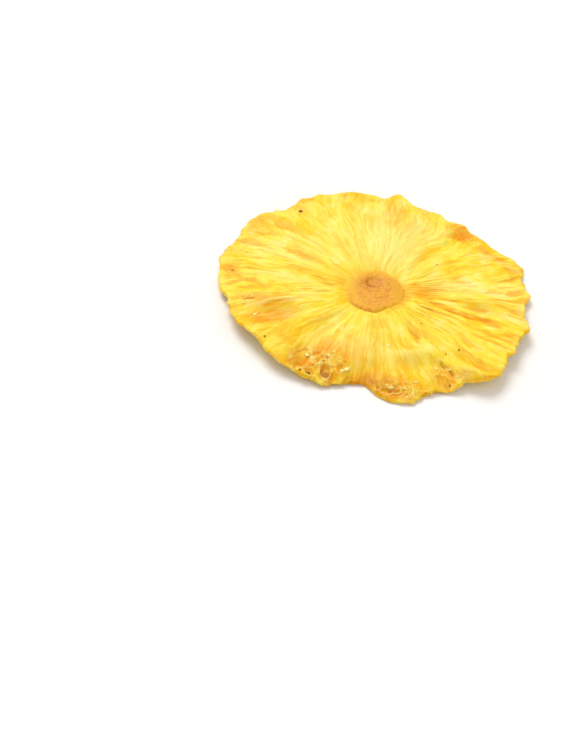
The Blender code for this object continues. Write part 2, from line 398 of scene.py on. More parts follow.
@dataclass(frozen=True)
class FleshRelief:
    """The fine relief of the flesh: fibres, slits, torn folds, pockets, and the tones that go with them."""

    form: SliceForm
    pockets: tuple[Spot, ...] = (
        pocket(-17.2, -31.9, 4.0, 2.5, 62.0, 0.60, 0.32),
        pocket(-10.0, -34.4, 2.6, 1.35, 97.0, 1.15, 0.42),
        pocket(-13.2, -29.6, 1.5, 0.8, 40.0, 0.40, 0.25),
        pocket(-6.2, -32.9, 1.4, 0.9, 80.0, 0.22, 0.15),
        pocket(-14.2, -36.0, 1.6, 0.8, -20.0, 0.35, 0.15),
        pocket(22.6, -31.2, 3.0, 1.6, -58.0, 0.35, 0.14),
        pocket(21.8, -25.4, 1.4, 0.5, -55.0, 0.45, 0.10),
        pocket(24.4, -28.2, 1.4, 0.5, -50.0, 0.45, 0.10),
        pocket(11.6, -35.0, 1.8, 0.8, 20.0, 0.30, 0.12),
        pocket(7.4, -37.6, 1.5, 0.8, -10.0, 0.25, 0.12),
        pocket(16.4, -36.6, 1.7, 0.8, 30.0, 0.25, 0.12),
        pocket(-34.6, -11.4, 2.2, 0.7, 20.0, 0.45, 0.15),
        pocket(-30.8, -10.6, 1.7, 0.6, -8.0, 0.40, 0.12),
        pocket(23.0, 35.4, 2.6, 1.0, -25.0, 0.20, 0.10),
    )
    # Stains: the flesh's own tones, and in places, as marked, painted light and shade.
    stains: tuple[Spot, ...] = (
        stain(Tone.ORANGE, 1.5, 22.8, 36.6, 3.8, 3.2, -25.0),
        stain(Tone.BROWN, 0.22, 23.4, 37.0, 2.6, 1.6, -25.0),
        streak(Tone.ORANGE, 1.3, (18.0, 32.0), (26.0, 34.8), 1.4, 0.25),
        stain(Tone.ORANGE, 0.75, 32.8, 27.8, 4.4, 1.8, -25.0),
        stain(Tone.GOLD, 0.6, 26.5, 30.0, 5.0, 3.0, -20.0),
        stain(Tone.GOLD, 0.8, 13.9, 20.6, 4.2, 1.6, 50.0),
        stain(Tone.GOLD, 0.9, 14.3, 12.9, 3.2, 1.0, 25.0),
        streak(Tone.ORANGE, 0.5, (18.4, 18.2), (21.8, 20.4), 0.8, 0.15),
        streak(Tone.GOLD, 1.0, (20.0, 11.2), (25.0, 11.5), 0.7, 0.15),
        # A painted highlight: the white glint on the crest here.
        stain(Tone.PALE, 1.0, 27.6, 11.6, 3.4, 1.3, 5.0),
        stain(Tone.PALE, 0.85, 32.9, 8.6, 7.0, 0.9, 0.0),
        stain(Tone.ORANGE, 0.45, 38.8, 21.6, 3.4, 2.0, -60.0),
        stain(Tone.ORANGE, 0.9, 36.4, 22.6, 0.8, 0.7, 0.0),
        streak(Tone.ORANGE, 1.0, (10.4, 4.8), (17.6, 4.3), 0.55, 0.35),
        streak(Tone.ORANGE, 0.9, (12.0, 0.6), (18.0, 0.3), 0.50, 0.35),
        streak(Tone.ORANGE, 1.0, (16.0, -1.4), (28.8, -5.4), 0.75, 0.50),
        streak(Tone.BROWN, 0.40, (17.5, -2.0), (26.5, -4.9), 0.35),
        streak(Tone.ORANGE, 0.8, (27.5, -5.0), (37.5, -5.2), 0.60, 0.30),
        streak(Tone.PALE, 0.5, (17.0, -0.5), (30.0, -2.6), 0.40, -0.15),
        streak(Tone.ORANGE, 0.8, (12.0, -3.0), (18.0, -5.7), 0.38, 0.30),
        streak(Tone.ORANGE, 0.6, (11.5, -4.8), (16.8, -7.8), 0.35, 0.25),
        streak(Tone.ORANGE, 0.6, (18.2, -11.8), (21.4, -14.4), 0.40, 0.25),
        streak(Tone.ORANGE, 1.0, (10.7, -10.4), (14.7, -18.2), 0.95, 0.40),
        streak(Tone.BROWN, 0.55, (12.4, -13.4), (14.5, -17.8), 0.50, 0.25),
        streak(Tone.ORANGE, 0.7, (13.6, -12.0), (16.2, -16.4), 0.40, 0.20),
        stain(Tone.GOLD, 0.9, 36.2, 3.4, 7.0, 1.6, -8.0),
        streak(Tone.ORANGE, 0.9, (36.0, 2.6), (42.8, 1.5), 0.8, 0.30),
        stain(Tone.PALE, 0.9, 40.5, -1.6, 4.2, 1.4, -10.0),
        stain(Tone.ORANGE, 0.6, 39.7, -10.0, 3.2, 1.6, -10.0),
        stain(Tone.ORANGE, 0.9, 12.0, 2.3, 4.2, 2.2, -4.0),
        stain(Tone.GOLD, 1.0, 13.0, 2.3, 5.4, 3.2, -4.0),
        stain(Tone.ORANGE, 0.45, 1.8, 36.3, 3.2, 7.0, 0.0),
        stain(Tone.ORANGE, 0.8, -25.6, 37.6, 2.8, 1.6, 20.0),
        stain(Tone.ORANGE, 0.35, -25.2, 34.0, 3.4, 2.6, 30.0),
        stain(Tone.GOLD, 1.3, -36.4, 26.2, 5.2, 4.0, 45.0),
        stain(Tone.ORANGE, 0.7, -37.2, 27.2, 4.6, 2.6, 42.0),
        streak(Tone.GOLD, 1.0, (-33.4, 28.7), (-27.6, 27.9), 0.7, 0.20),
        streak(Tone.ORANGE, 0.55, (-31.8, 26.6), (-27.2, 23.0), 0.8, 0.25),
        streak(Tone.ORANGE, 0.5, (-38.4, 21.2), (-32.0, 21.0), 0.9, 0.20),
        streak(Tone.ORANGE, 0.65, (-43.0, 17.4), (-37.8, 16.4), 0.9, 0.25),
        streak(Tone.ORANGE, 0.35, (-39.4, 15.6), (-32.8, 15.6), 0.8),
        streak(Tone.GOLD, 1.0, (-44.4, 12.6), (-36.6, 11.8), 0.8, 0.20),
        streak(Tone.ORANGE, 0.50, (-26.0, 13.2), (-17.6, 9.6), 0.9, 0.20),
        streak(Tone.ORANGE, 0.60, (-26.8, 6.6), (-20.6, 4.0), 0.8, 0.25),
        stain(Tone.ORANGE, 0.90, -42.4, 3.4, 2.6, 4.6, 12.0),
        streak(Tone.ORANGE, 0.9, (-42.6, 5.2), (-40.6, 1.2), 0.5, 0.30),
        streak(Tone.ORANGE, 0.90, (-41.0, 0.6), (-31.0, -4.2), 0.9, 0.35),
        streak(Tone.ORANGE, 0.40, (-38.0, 4.6), (-30.0, 1.6), 0.6, 0.15),
        streak(Tone.ORANGE, 0.80, (-17.2, 1.6), (-11.4, -0.7), 0.7, 0.30),
        stain(Tone.GOLD, 1.0, -10.2, 2.4, 5.4, 3.4, -4.0),
        stain(Tone.ORANGE, 0.45, -9.4, 1.4, 3.4, 2.6, -10.0),
        stain(Tone.ORANGE, 0.9, -19.8, -4.5, 0.9, 0.6, 0.0),
        streak(Tone.ORANGE, 0.50, (-21.5, -4.6), (-13.0, -3.4), 0.6, 0.20),
        stain(Tone.ORANGE, 1.2, -33.0, -11.0, 6.0, 2.4, 0.0),
        stain(Tone.BROWN, 0.60, -35.4, -10.6, 1.8, 0.8, 30.0),
        stain(Tone.BROWN, 0.55, -30.6, -10.2, 1.4, 0.7, -20.0),
        streak(Tone.ORANGE, 0.85, (-31.5, -10.4), (-18.5, -7.0), 0.95, 0.35),
        # Pale along the raised ridge: painted light on its top.
        streak(Tone.PALE, 1.0, (-33.4, -14.6), (-26.6, -11.6), 0.8, -0.16),
        streak(Tone.PALE, 1.0, (-28.4, -12.3), (-17.5, -8.5), 0.8, -0.16),
        streak(Tone.ORANGE, 0.9, (-34.5, -9.8), (-22.0, -8.0), 1.1, 0.20),
        # Gold and orange on the slope and in the hollow below the ridge: painted shade.
        streak(Tone.GOLD, 1.3, (-34.0, -16.4), (-21.0, -11.8), 1.6),
        stain(Tone.ORANGE, 1.2, -26.8, -16.6, 6.4, 2.5, 22.0),
        stain(Tone.ORANGE, 0.45, -24.6, -19.6, 6.0, 1.6, 30.0),
        stain(Tone.GOLD, 0.7, -33.5, -20.5, 6.0, 3.0, -30.0),
        # Orange in the large front-left pocket: painted shade in its hollow.
        stain(Tone.ORANGE, 0.95, -17.8, -32.4, 3.8, 2.4, 62.0),
        stain(Tone.ORANGE, 0.60, -12.5, -31.0, 8.5, 4.2, 10.0),
        # Orange and brown in the window pocket: painted shade in its hollow.
        stain(Tone.ORANGE, 1.4, -10.0, -34.0, 2.8, 1.7, 97.0),
        stain(Tone.BROWN, 1.3, -9.9, -35.2, 2.0, 1.3, 97.0),
        stain(Tone.ORANGE, 0.75, -10.8, -27.2, 7.0, 2.6, 14.0),
        stain(Tone.ORANGE, 0.45, -5.0, -29.4, 6.0, 2.0, 8.0),
        # Orange, brown and gold along the front edge: painted shade where the flesh curves down away from the
        # light.
        stain(Tone.ORANGE, 1.0, 2.4, -34.4, 6.4, 3.2, 5.0),
        stain(Tone.BROWN, 0.60, 2.4, -35.4, 5.8, 2.4, 5.0),
        stain(Tone.GOLD, 1.2, 2.0, -34.6, 8.0, 3.6, 5.0),
        stain(Tone.BROWN, 0.15, -6.4, -33.2, 1.5, 1.0, 80.0),
        stain(Tone.BROWN, 0.35, -15.6, -34.6, 2.6, 1.2, 20.0),
        # Orange and brown at the front lobe's lower edge: painted shade.
        stain(Tone.ORANGE, 0.85, 10.0, -38.6, 7.4, 2.6, 4.0),
        stain(Tone.BROWN, 0.30, 9.0, -37.2, 5.0, 1.4, -4.0),
        stain(Tone.ORANGE, 0.60, 12.0, -34.6, 5.0, 2.4, 8.0),
        streak(Tone.PALE, 0.9, (4.6, -38.6), (8.6, -39.6), 0.6, -0.15),
        streak(Tone.PALE, 0.9, (8.4, -39.4), (13.6, -39.2), 0.7, -0.15),
        streak(Tone.PALE, 0.80, (8.8, -23.0), (13.4, -25.4), 1.3, -0.12),
        streak(Tone.PALE, 0.80, (12.4, -25.4), (18.6, -20.4), 1.4, -0.12),
        stain(Tone.ORANGE, 0.35, 13.0, -20.8, 3.0, 1.4, 10.0),
        stain(Tone.ORANGE, 1.0, 22.3, -30.2, 4.0, 2.6, -60.0),
        stain(Tone.BROWN, 0.25, 22.6, -31.8, 1.8, 1.2, -60.0),
        streak(Tone.BROWN, 0.60, (20.8, -24.0), (22.8, -26.9), 0.55, 0.30),
        streak(Tone.BROWN, 0.60, (23.4, -26.8), (25.4, -29.6), 0.55, 0.30),
        # Orange in the groove behind the right-front lip: painted shade.
        streak(Tone.ORANGE, 0.80, (28.4, -22.8), (37.0, -26.0), 1.1, 0.20),
        # Pale on the lip's top: painted light.
        streak(Tone.PALE, 0.50, (27.0, -27.4), (35.0, -29.2), 1.0, -0.15),
        # Gold and orange on and below the lip: painted shade.
        stain(Tone.GOLD, 0.6, 31.0, -28.4, 9.0, 4.0, -14.0),
        stain(Tone.ORANGE, 0.45, 26.4, -29.0, 3.0, 2.0, -30.0),
        # Gold on a patch that lies in shade: painted shade.
        stain(Tone.GOLD, 0.60, 28.6, 0.8, 5.0, 1.4, -3.0),
        stain(Tone.PALE, 0.35, -1.0, -26.0, 13.0, 5.0, 4.0),
        # Orange on a patch that lies in shade: painted shade.
        stain(Tone.ORANGE, 0.30, 10.8, 18.8, 3.4, 1.3, 58.0),
        stain(Tone.ORANGE, 0.20, -2.6, -24.0, 12.0, 4.6, 4.0),
        # Brown on the left side of the large front-left pocket: painted shade.
        stain(Tone.BROWN, 0.45, -18.6, -32.6, 2.4, 1.5, 62.0),
        stain(Tone.ORANGE, 0.25, -24.0, -25.0, 9.0, 3.0, -40.0),
        stain(Tone.PALE, 0.65, 22.0, 8.0, 10.0, 3.6, 8.0),
        stain(Tone.PALE, 0.55, 37.5, 12.0, 6.0, 4.0, 60.0),
        stain(Tone.PALE, 0.60, 10.5, 31.0, 7.0, 4.5, 60.0),
        stain(Tone.PALE, 0.35, -11.0, -19.5, 8.0, 4.0, 62.0),
        stain(Tone.PALE, 0.35, 1.0, -25.5, 9.0, 4.0, 0.0),
        stain(Tone.PALE, 0.50, -28.0, 12.0, 9.0, 3.0, -20.0),
        stain(Tone.PALE, 0.60, 0.0, 24.0, 15.0, 12.0, 90.0),
        stain(Tone.PALE, 0.50, 5.0, 17.0, 7.0, 5.0, 80.0),
        stain(Tone.PALE, 0.25, -22.0, 17.0, 12.0, 5.0, 150.0),
        stain(Tone.PALE, 0.45, -26.0, 0.5, 9.0, 2.2, -12.0),
        stain(Tone.PALE, 0.20, 2.0, -17.0, 9.0, 6.0, 80.0),
        # Broad gold over the front half and an orange band at the front rim: painted shade on the front, which
        # turns away from the light.
        stain(Tone.GOLD, 0.70, 0.0, -33.0, 20.0, 8.0, 0.0),
        stain(Tone.GOLD, 0.45, -22.0, -22.0, 14.0, 6.0, -38.0),
        stain(Tone.GOLD, 0.40, 14.0, -25.0, 7.0, 5.0, 10.0),
        stain(Tone.GOLD, 0.80, 11.0, -37.5, 8.0, 4.0, 8.0),
        stain(Tone.ORANGE, 0.60, -3.6, -36.6, 6.0, 2.4, 10.0),
        stain(Tone.GOLD, 0.25, 25.0, -16.0, 13.0, 7.0, -35.0),
    )
    torn_zones: tuple[tuple[Spot, float], ...] = (
        (spot(-11.5, -31.8, 6.8, 3.8, 5.0), 1.3),
        (spot(11.5, -37.0, 8.5, 4.0, 4.0), 1.5),
        (spot(23.0, -30.0, 4.0, 3.0, -50.0), 0.8),
        (spot(-34.0, -11.0, 5.6, 3.2, 0.0), 0.75),
        (spot(-36.0, 25.5, 5.4, 3.8, 40.0), 0.8),
        (spot(-42.0, 2.8, 2.4, 3.0, 0.0), 0.6),
        (spot(23.0, 36.0, 3.4, 2.4, -25.0), 0.8),
    )
    fold_size: float = 1.7 * MM
    fold_height: float = 0.75 * MM
    slit_depth: float = 0.26 * MM
    pit: Spot = spot(-0.6, 4.2, 2.1, 1.8, 0.0)
    pit_depth: float = 0.17 * MM
    pit_front: float = -125.0
    wander: float = 0.048
    fine_wander: float = 0.012
    stain_push: float = 0.8 * MM
    fold_push: float = 1.3 * MM
    lip_width: float = 0.20 * MM

    def bent_angle(self, x: float, y: float, radius: float, angle: float) -> float:
        """Angle of the fibre that runs through a place, as fibres wander a little sideways."""
        broad, fine = flat_noise(x, y, 13.0 * MM, 2.0), flat_noise(x, y, 4.0 * MM, 9.0)
        wander = self.wander * broad + self.fine_wander * fine
        return angle + wander * min(radius / (18.0 * MM), 1.0)

    def fibres(self, radius: float, bent: float, seed: float) -> tuple[float, float]:
        """Height of the fibres at a place, and how far it is a crest.

        Args:
            radius: Distance from the core's centre.
            bent: Angle of the fibre.
            seed: Seed of the face.

        Returns:
            The height in metres, and the crest from 0 to 1.
        """
        outer = blend(12.0 * MM, 34.0 * MM, radius)
        broad = ring_noise(bent, 12.0, seed + radius / (14.0 * MM))
        middle = ring_noise(bent, 25.0, seed + 3.0 + radius / (9.0 * MM))
        fine = ring_noise(bent, 52.0, seed + 7.0 + radius / (6.0 * MM))
        hair = ring_noise(bent, 100.0, seed + 11.0 + radius / (4.0 * MM))
        ridge = 1.0 - 2.0 * abs(middle)
        height = 0.13 * broad + (0.05 + 0.03 * outer) * ridge + (0.03 + 0.03 * outer) * fine
        height += 0.018 * outer * hair
        crest = 0.5 + 0.30 * broad + 0.12 * ridge + 0.28 * fine + 0.20 * hair
        return height * MM, min(max(crest, 0.0), 1.0)

    def slit(self, radius: float, bent: float, angle: float, seed: float) -> float:
        """How deep a place lies in a slit between fibres, from 0 to 1."""
        right = hill(turn_between(angle, 0.0) / 34.0)
        left = 0.8 * hill(turn_between(angle, -175.0) / 34.0)
        sector = 0.25 + 0.55 * max(right, left)
        broad = blend(0.42, 0.70, ring_noise(bent, 21.0, seed + 31.0 + radius / (12.0 * MM)))
        thin = blend(0.42, 0.66, ring_noise(bent, 46.0, seed + 37.0 + radius / (8.0 * MM)))
        return sector * max(broad, 0.7 * thin) * blend(11.0 * MM, 16.0 * MM, radius)

    def torn_share(self, side: Side, x: float, y: float, reach: float) -> float:
        """How far the flesh is torn open into folds: at the front, and in places along the rim."""
        patchy = blend(-0.25, 0.40, flat_noise(x, y, 6.0 * MM, 14.0 * side.value))
        rim = 0.8 * blend(0.82, 0.96, reach) * patchy
        if side is Side.LOWER:
            return rim
        return max(rim, *(share * hill(zone.distance(x, y)) for zone, share in self.torn_zones))

    def folds(self, x: float, y: float) -> tuple[float, float]:
        """Height of the torn flesh's thin folds, and how far a place lies on a crest."""
        warped_x = x + self.fold_push * flat_noise(x, y, 3.6 * MM, 51.0)
        warped_y = y + self.fold_push * flat_noise(x, y, 3.6 * MM, 57.0)
        broad = 1.0 - min(abs(flat_noise(warped_x, warped_y, self.fold_size, 71.0)), 1.0)
        fine = 1.0 - min(abs(flat_noise(warped_x, warped_y, 0.5 * self.fold_size, 77.0)), 1.0)
        crest = 0.65 * broad**6 + 0.35 * fine**4
        return self.fold_height * (crest - 0.28), crest

    def pocket_height(self, x: float, y: float) -> tuple[float, float, float]:
        """Height that the pockets and their lips add, and how far a place lies on a lip and inside."""
        wobble = 0.20 * flat_noise(x, y, 1.3 * MM, 5.0)
        partial = 0.25 + 0.75 * blend(-0.35, 0.35, flat_noise(x, y, 1.9 * MM, 6.0))
        height, rim, inside = 0.0, 0.0, 0.0
        for hollow in self.pockets:
            distance = hollow.distance(x, y) + wobble
            if distance < 2.0:
                thin = self.lip_width / hollow.half_width
                lip = partial * math.exp(-(((distance - 1.0 - thin) / thin) ** 2))
                sunk = 1.0 - blend(0.80, 1.0, distance)
                height += hollow.lip * lip - hollow.depth * sunk
                rim = max(rim, lip * min(hollow.lip / (0.3 * MM), 1.0))
                inside = max(inside, sunk)
        return height, rim, inside

    def pit_ring(self, x: float, y: float) -> float:
        """How far a place lies in the core's ring-shaped pit, from 0 to 1, deepest on its front left."""
        wobble = 0.14 * flat_noise(x, y, 1.1 * MM, 15.0)
        turned = math.atan2(y - self.pit.y, x - self.pit.x)
        share = 0.68 + 0.32 * math.cos(turned - math.radians(self.pit_front))
        share *= 0.8 + 0.3 * flat_noise(x, y, 0.8 * MM, 18.0)
        return share * math.exp(-(((self.pit.distance(x, y) + wobble - 1.0) / 0.24) ** 2))

    def tones(self, x: float, y: float, crest: float) -> tuple[dict[Tone, float], float]:
        """What the stains do at a place of the upper face.

        Args:
            x: Place to the right of the core's centre.
            y: Place behind it.
            crest: How far the place is a fibre's crest.

        Returns:
            The share of each tone, and the height that the stains' grooves add.
        """
        x_warped = x + self.stain_push * flat_noise(x, y, 3.2 * MM, 41.0)
        y_warped = y + self.stain_push * flat_noise(x, y, 3.2 * MM, 47.0)
        # Stains other than pale grow stronger in the fibres' hollows: painted shade.
        hollow_shade = 0.60 + 0.8 * (1.0 - crest)
        left = dict.fromkeys(Tone, 1.0)
        height = 0.0
        for mark in self.stains:
            distance = mark.distance(x_warped, y_warped)
            if distance < 1.8:
                share = hill(distance * 1.12)
                height -= mark.groove * share
                share *= mark.strength if mark.tone is Tone.PALE else mark.strength * hollow_shade
                left[mark.tone] *= 1.0 - min(share, 1.0)
        return {tone: 1.0 - rest for tone, rest in left.items()}, height


@dataclass(frozen=True)
class ShellPoint:
    """A vertex of a wrapped shell, with its reach, its angle round the core and its side."""

    vert: bmesh.types.BMVert
    reach: float
    angle: float
    side: float


def wrapped_shell(
    profile: list[tuple[float, float]], steps: int, masks: tuple[str, ...]
) -> tuple[bmesh.types.BMesh, list[ShellPoint]]:
    """A shell wrapped round the core from a grid: its columns run round, its rows follow a profile.

    Args:
        profile: Reach and side of each row, from the centre out and back.
        steps: Number of columns.
        masks: Names of the masks that its points will carry.

    Returns:
        The bmesh, and its points still to be put in place.
    """
    mesh = bmesh.new()
    for name in masks:
        mesh.verts.layers.float.new(name)
    last = len(profile) - 1
    bmesh.ops.create_grid(mesh, x_segments=steps, y_segments=last, size=1.0)
    points = []
    for vert in mesh.verts:
        step = round(0.5 * (vert.co.x + 1.0) * steps) % steps
        reach, side = profile[round(0.5 * (vert.co.y + 1.0) * last)]
        points.append(ShellPoint(vert, reach, 2.0 * math.pi * step / steps, side))
    return mesh, points


def closed_shell(mesh: bmesh.types.BMesh, name: str) -> bpy.types.Object:
    """Merge a placed shell's seam and poles, turn its faces outwards and make it an object."""
    bmesh.ops.remove_doubles(mesh, verts=mesh.verts, dist=1e-6)
    bmesh.ops.recalc_face_normals(mesh, faces=mesh.faces)
    return finished(mesh, name)


@dataclass
class FleshSkin:
    """The whole skin of the slice: upper face, rim and lower face in one closed mesh."""

    form: SliceForm
    relief: FleshRelief
    steps: int = 880
    core_rings: int = 4
    upper_rings: int = 68
    lower_rings: int = 22
    crowding: float = 0.45
    nose_points: int = 7
    last_ring: float = 0.980
    rag: float = 0.32 * MM
    wall_rag: float = 0.46 * MM
    calm_left: float = 0.6
    pinch: float = 0.42
    under_core: float = 0.9 * MM
    # Orange painted on the rim wall as shade.
    wall_shade: float = 0.45
    # Orange painted inside the pockets as shade.
    pocket_shade: float = 0.7
    edge_warmth: float = 0.45
    ring_width: float = 2.4 * MM
    lump_height: float = 0.14 * MM
    columns: dict[int, float] = field(default_factory=dict)

    def profile(self) -> list[tuple[float, float]]:
        """Reach and side of each ring: out along the upper face, round the rim and back below."""
        share = self.form.core_share
        core = [share * ring / self.core_rings for ring in range(self.core_rings)]

        def flesh(count: int) -> list[float]:
            """Reach of the flesh's rings, closer together towards the rim."""
            steps = [ring / (count - 1) for ring in range(count)]
            crowded = [step * (1.0 + self.crowding * (1.0 - step)) for step in steps]
            return [share + (self.last_ring - share) * step for step in crowded]

        nose = []
        for point in range(1, self.nose_points + 1):
            turn = math.pi * point / (self.nose_points + 1)
            reach = self.last_ring + (1.0 - self.last_ring) * math.sin(turn)
            nose.append((reach, math.cos(turn)))
        upper = [(reach, 1.0) for reach in core + flesh(self.upper_rings)]
        lower = [(reach, -1.0) for reach in core + flesh(self.lower_rings)]
        return upper + nose + lower[::-1]

    def rim(self, angle: float) -> float:
        """Ragged radius of the rim, worked out once for each step round the slice."""
        column = round(angle * self.steps / (2.0 * math.pi)) % self.steps
        if column not in self.columns:
            ragged = 0.5 + 0.8 * ring_noise(angle, 3.1, 44.0)
            torn = 0.9 * ring_noise(angle, 10.0, 12.0) + max(ragged, 0.1) * ring_noise(angle, 26.0, 19.0)
            torn *= 1.0 - self.calm_left * hill(turn_between(angle, 178.0) / 36.0)
            self.columns[column] = self.form.rim_radius(angle) + self.rag * (torn - 0.4)
        return self.columns[column]

    def smooth_height(self, side: Side, reach: float, angle: float, x: float, y: float) -> float:
        """Height of one face without its fine relief."""
        form = self.form
        rise = form.furrow_height(side, reach, angle) + form.dent_height(side, x, y)
        half = 0.5 * form.thickness(reach)
        return form.mid_height(reach, angle) + side.value * (half + rise - form.core_dip(reach))

    def face_height(self, side: Side, reach: float, radius: float, angle: float) -> tuple[float, dict]:
        """Height of one face at a place, and the masks that its finish reads.

        Args:
            side: Which face.
            reach: Share of the way out.
            radius: Distance from the core's centre.
            angle: Angle round the core.

        Returns:
            The height above the table before it is cut off there, and the masks by name.
        """
        form, relief = self.form, self.relief
        x, y = radius * math.cos(angle), radius * math.sin(angle)
        seed = 100.0 if side is Side.UPPER else 160.0
        bent = relief.bent_angle(x, y, radius, angle)
        fade = 1.0 - 0.5 * blend(0.93, 1.0, reach)
        start = blend(form.core_share * 0.9, form.core_share * 1.3, reach)
        fibre, crest = relief.fibres(radius, bent, seed)
        slit = relief.slit(radius, bent, angle, seed) * fade
        torn = relief.torn_share(side, x, y, reach)
        patch = 0.7 + 0.5 * flat_noise(x, y, 7.0 * MM, 25.0 * side.value)
        rough = 1.0 - 0.35 * blend(0.6, 0.95, reach)
        lump = self.lump_height * blend(0.5, 0.9, reach) * flat_noise(x, y, 2.4 * MM, 27.0 * side.value)
        rise = fade * start * ((1.0 - 0.6 * torn) * patch * rough * fibre - relief.slit_depth * slit + lump)
        rise -= self.under_core * (1.0 - blend(form.core_share * 0.70, form.core_share * 0.92, reach))
        calm = 0.45 + 0.55 * patch
        # The crest mask lets the finish paint light on the fibres' crests and shade in their hollows.
        masks = {"crest": 0.5 + (crest - 0.5) * calm, "slit": slit, "torn": 0.0, "lip": 0.0}
        if side is Side.UPPER:
            pocket, lip, inside = relief.pocket_height(x, y)
            rise += pocket
            torn *= 1.0 - 0.85 * inside
            masks["lip"] = lip
            tones, sunk = relief.tones(x, y, crest)
            # Orange inside the pockets: painted shade in their hollows.
            tones[Tone.ORANGE] = max(tones[Tone.ORANGE], self.pocket_shade * inside)
            rise += sunk * start
            beside = radius - form.core_radius(angle) + 0.9 * MM * (crest - 0.5)
            ring = 1.0 - blend(0.2 * MM, self.ring_width, beside)
            tones[Tone.GOLD] = max(tones[Tone.GOLD], (0.25 + 0.6 * abs(math.cos(angle))) * ring)
            ends = (0.50 + 0.35 * math.cos(angle)) * math.cos(angle) ** 2
            tones[Tone.ORANGE] = max(tones[Tone.ORANGE], ends * ring)
        else:
            # The lower face lies in shade: its blotchy gold and orange are painted warm shade.
            blotch = blend(-0.1, 0.8, flat_noise(x, y, 8.0 * MM, 61.0))
            tones = {Tone.PALE: 0.35, Tone.GOLD: blotch, Tone.ORANGE: 0.5 * blotch * blotch, Tone.BROWN: 0.0}
        if torn > 0.0:
            fold, ridge = relief.folds(x, y)
            rise += fade * torn * fold
            # The torn mask follows the folds' crests, which the finish paints pale as painted light.
            masks["torn"] = torn * ridge
        edge = blend(0.9, 1.0, reach) * blend(-0.2, 0.6, ring_noise(angle, 6.0, 88.0))
        tones[Tone.ORANGE] = max(tones[Tone.ORANGE], self.edge_warmth * edge)
        masks.update({tone.value: share for tone, share in tones.items()})
        return self.smooth_height(side, reach, angle, x, y) + side.value * rise, masks

    def place(self, reach: float, angle: float, share: float) -> tuple[Vector, dict]:
        """Where a point of the unit disc belongs, and its masks.

        Args:
            reach: Its share of the way out.
            angle: Its angle round the core.
            share: 1 on the upper face, -1 on the lower one, and between on the rim.

        Returns:
            The place from the core's centre, and the masks by name.
        """
        form = self.form
        rim, inner = self.rim(angle), form.core_radius(angle)
        if reach <= form.core_share:
            radius = inner * reach / form.core_share
        else:
            radius = inner + (rim - inner) * (reach - form.core_share) / (1.0 - form.core_share)
        cosine, sine = math.cos(angle), math.sin(angle)
        rough = noise.noise(Vector((17.0 * cosine, 17.0 * sine, 1.1 * share + 91.0)))
        fine = 1.5 * noise.noise(Vector((40.0 * cosine, 40.0 * sine, 2.4 * share + 95.0)))
        fine *= blend(-0.2, 0.6, ring_noise(angle, 3.7, 66.0))
        radius += self.wall_rag * (rough + fine) * blend(0.92, 1.0, reach)
        x, y = radius * cosine, radius * sine
        if share > -1.0:
            upper, masks = self.face_height(Side.UPPER, reach, radius, angle)
        else:
            upper, masks = self.smooth_height(Side.UPPER, reach, angle, x, y), {}
        if share < 1.0:
            lower, low_masks = self.face_height(Side.LOWER, reach, radius, angle)
            masks = masks if share > -0.3 else low_masks
            if -1.0 < share < 0.9:
                # The rim wall takes orange: painted shade.
                masks["orange"] = max(masks["orange"], self.wall_shade)
        else:
            lower = self.smooth_height(Side.LOWER, reach, angle, x, y)
        lower = max(lower, 0.0)
        upper = max(upper, lower + 0.7 * form.least_thickness)
        patchy = 0.7 + 0.5 * ring_noise(angle, 4.3, 77.0)
        lost = self.pinch * blend(0.88, 1.0, reach) * patchy * (upper - lower)
        lower, upper = lower + 0.55 * lost, upper - 0.45 * lost
        return Vector((x, y, lower + (upper - lower) * (0.5 + 0.5 * share))), masks

    def build(self) -> bpy.types.Object:
        """Wrap the shell, carry each point to its place and store the masks.

        Returns:
            The skin object, with its place in its mesh.
        """
        names = ("crest", "slit", "torn", "lip", *(tone.value for tone in Tone))
        mesh, points = wrapped_shell(self.profile(), self.steps, names)
        layers = {name: mesh.verts.layers.float[name] for name in names}
        core = Vector((self.form.core_x, self.form.core_y, 0.0))
        for point in points:
            place, masks = self.place(point.reach, point.angle, point.side)
            point.vert.co = core + place
            for name, layer in layers.items():
                point.vert[layer] = masks[name]
        return closed_shell(mesh, "flesh_skin")

    def top(self, x: float, y: float) -> float:
        """Height of what shows at the top of a place, the core plug included."""
        radius, angle = math.hypot(x, y), math.atan2(y, x)
        if radius > self.form.core_radius(angle):
            return self.surface(Side.UPPER, x, y)
        reach = self.form.reach_at(radius, angle, self.rim(angle))
        return self.smooth_height(Side.UPPER, reach, angle, x, y) + 0.14 * MM

    def surface(self, side: Side, x: float, y: float) -> float:
        """Height of a face at a place measured from the core's centre."""
        radius, angle = math.hypot(x, y), math.atan2(y, x)
        rim = self.rim(angle)
        reach = min(self.form.reach_at(radius, angle, rim), 1.0)
        return self.face_height(side, reach, radius, angle)[0]


def finished(mesh: bmesh.types.BMesh, name: str) -> bpy.types.Object:
    """Turn a bmesh into a smooth-shaded object at the origin.

    Args:
        mesh: The finished bmesh, which is freed.
        name: Name of the object and of its mesh.

    Returns:
        The new object, linked to the scene.
    """
    data = bpy.data.meshes.new(name)
    mesh.to_mesh(data)
    mesh.free()
    data.shade_smooth()
    obj = bpy.data.objects.new(name, data)
    bpy.context.scene.collection.objects.link(obj)
    return obj


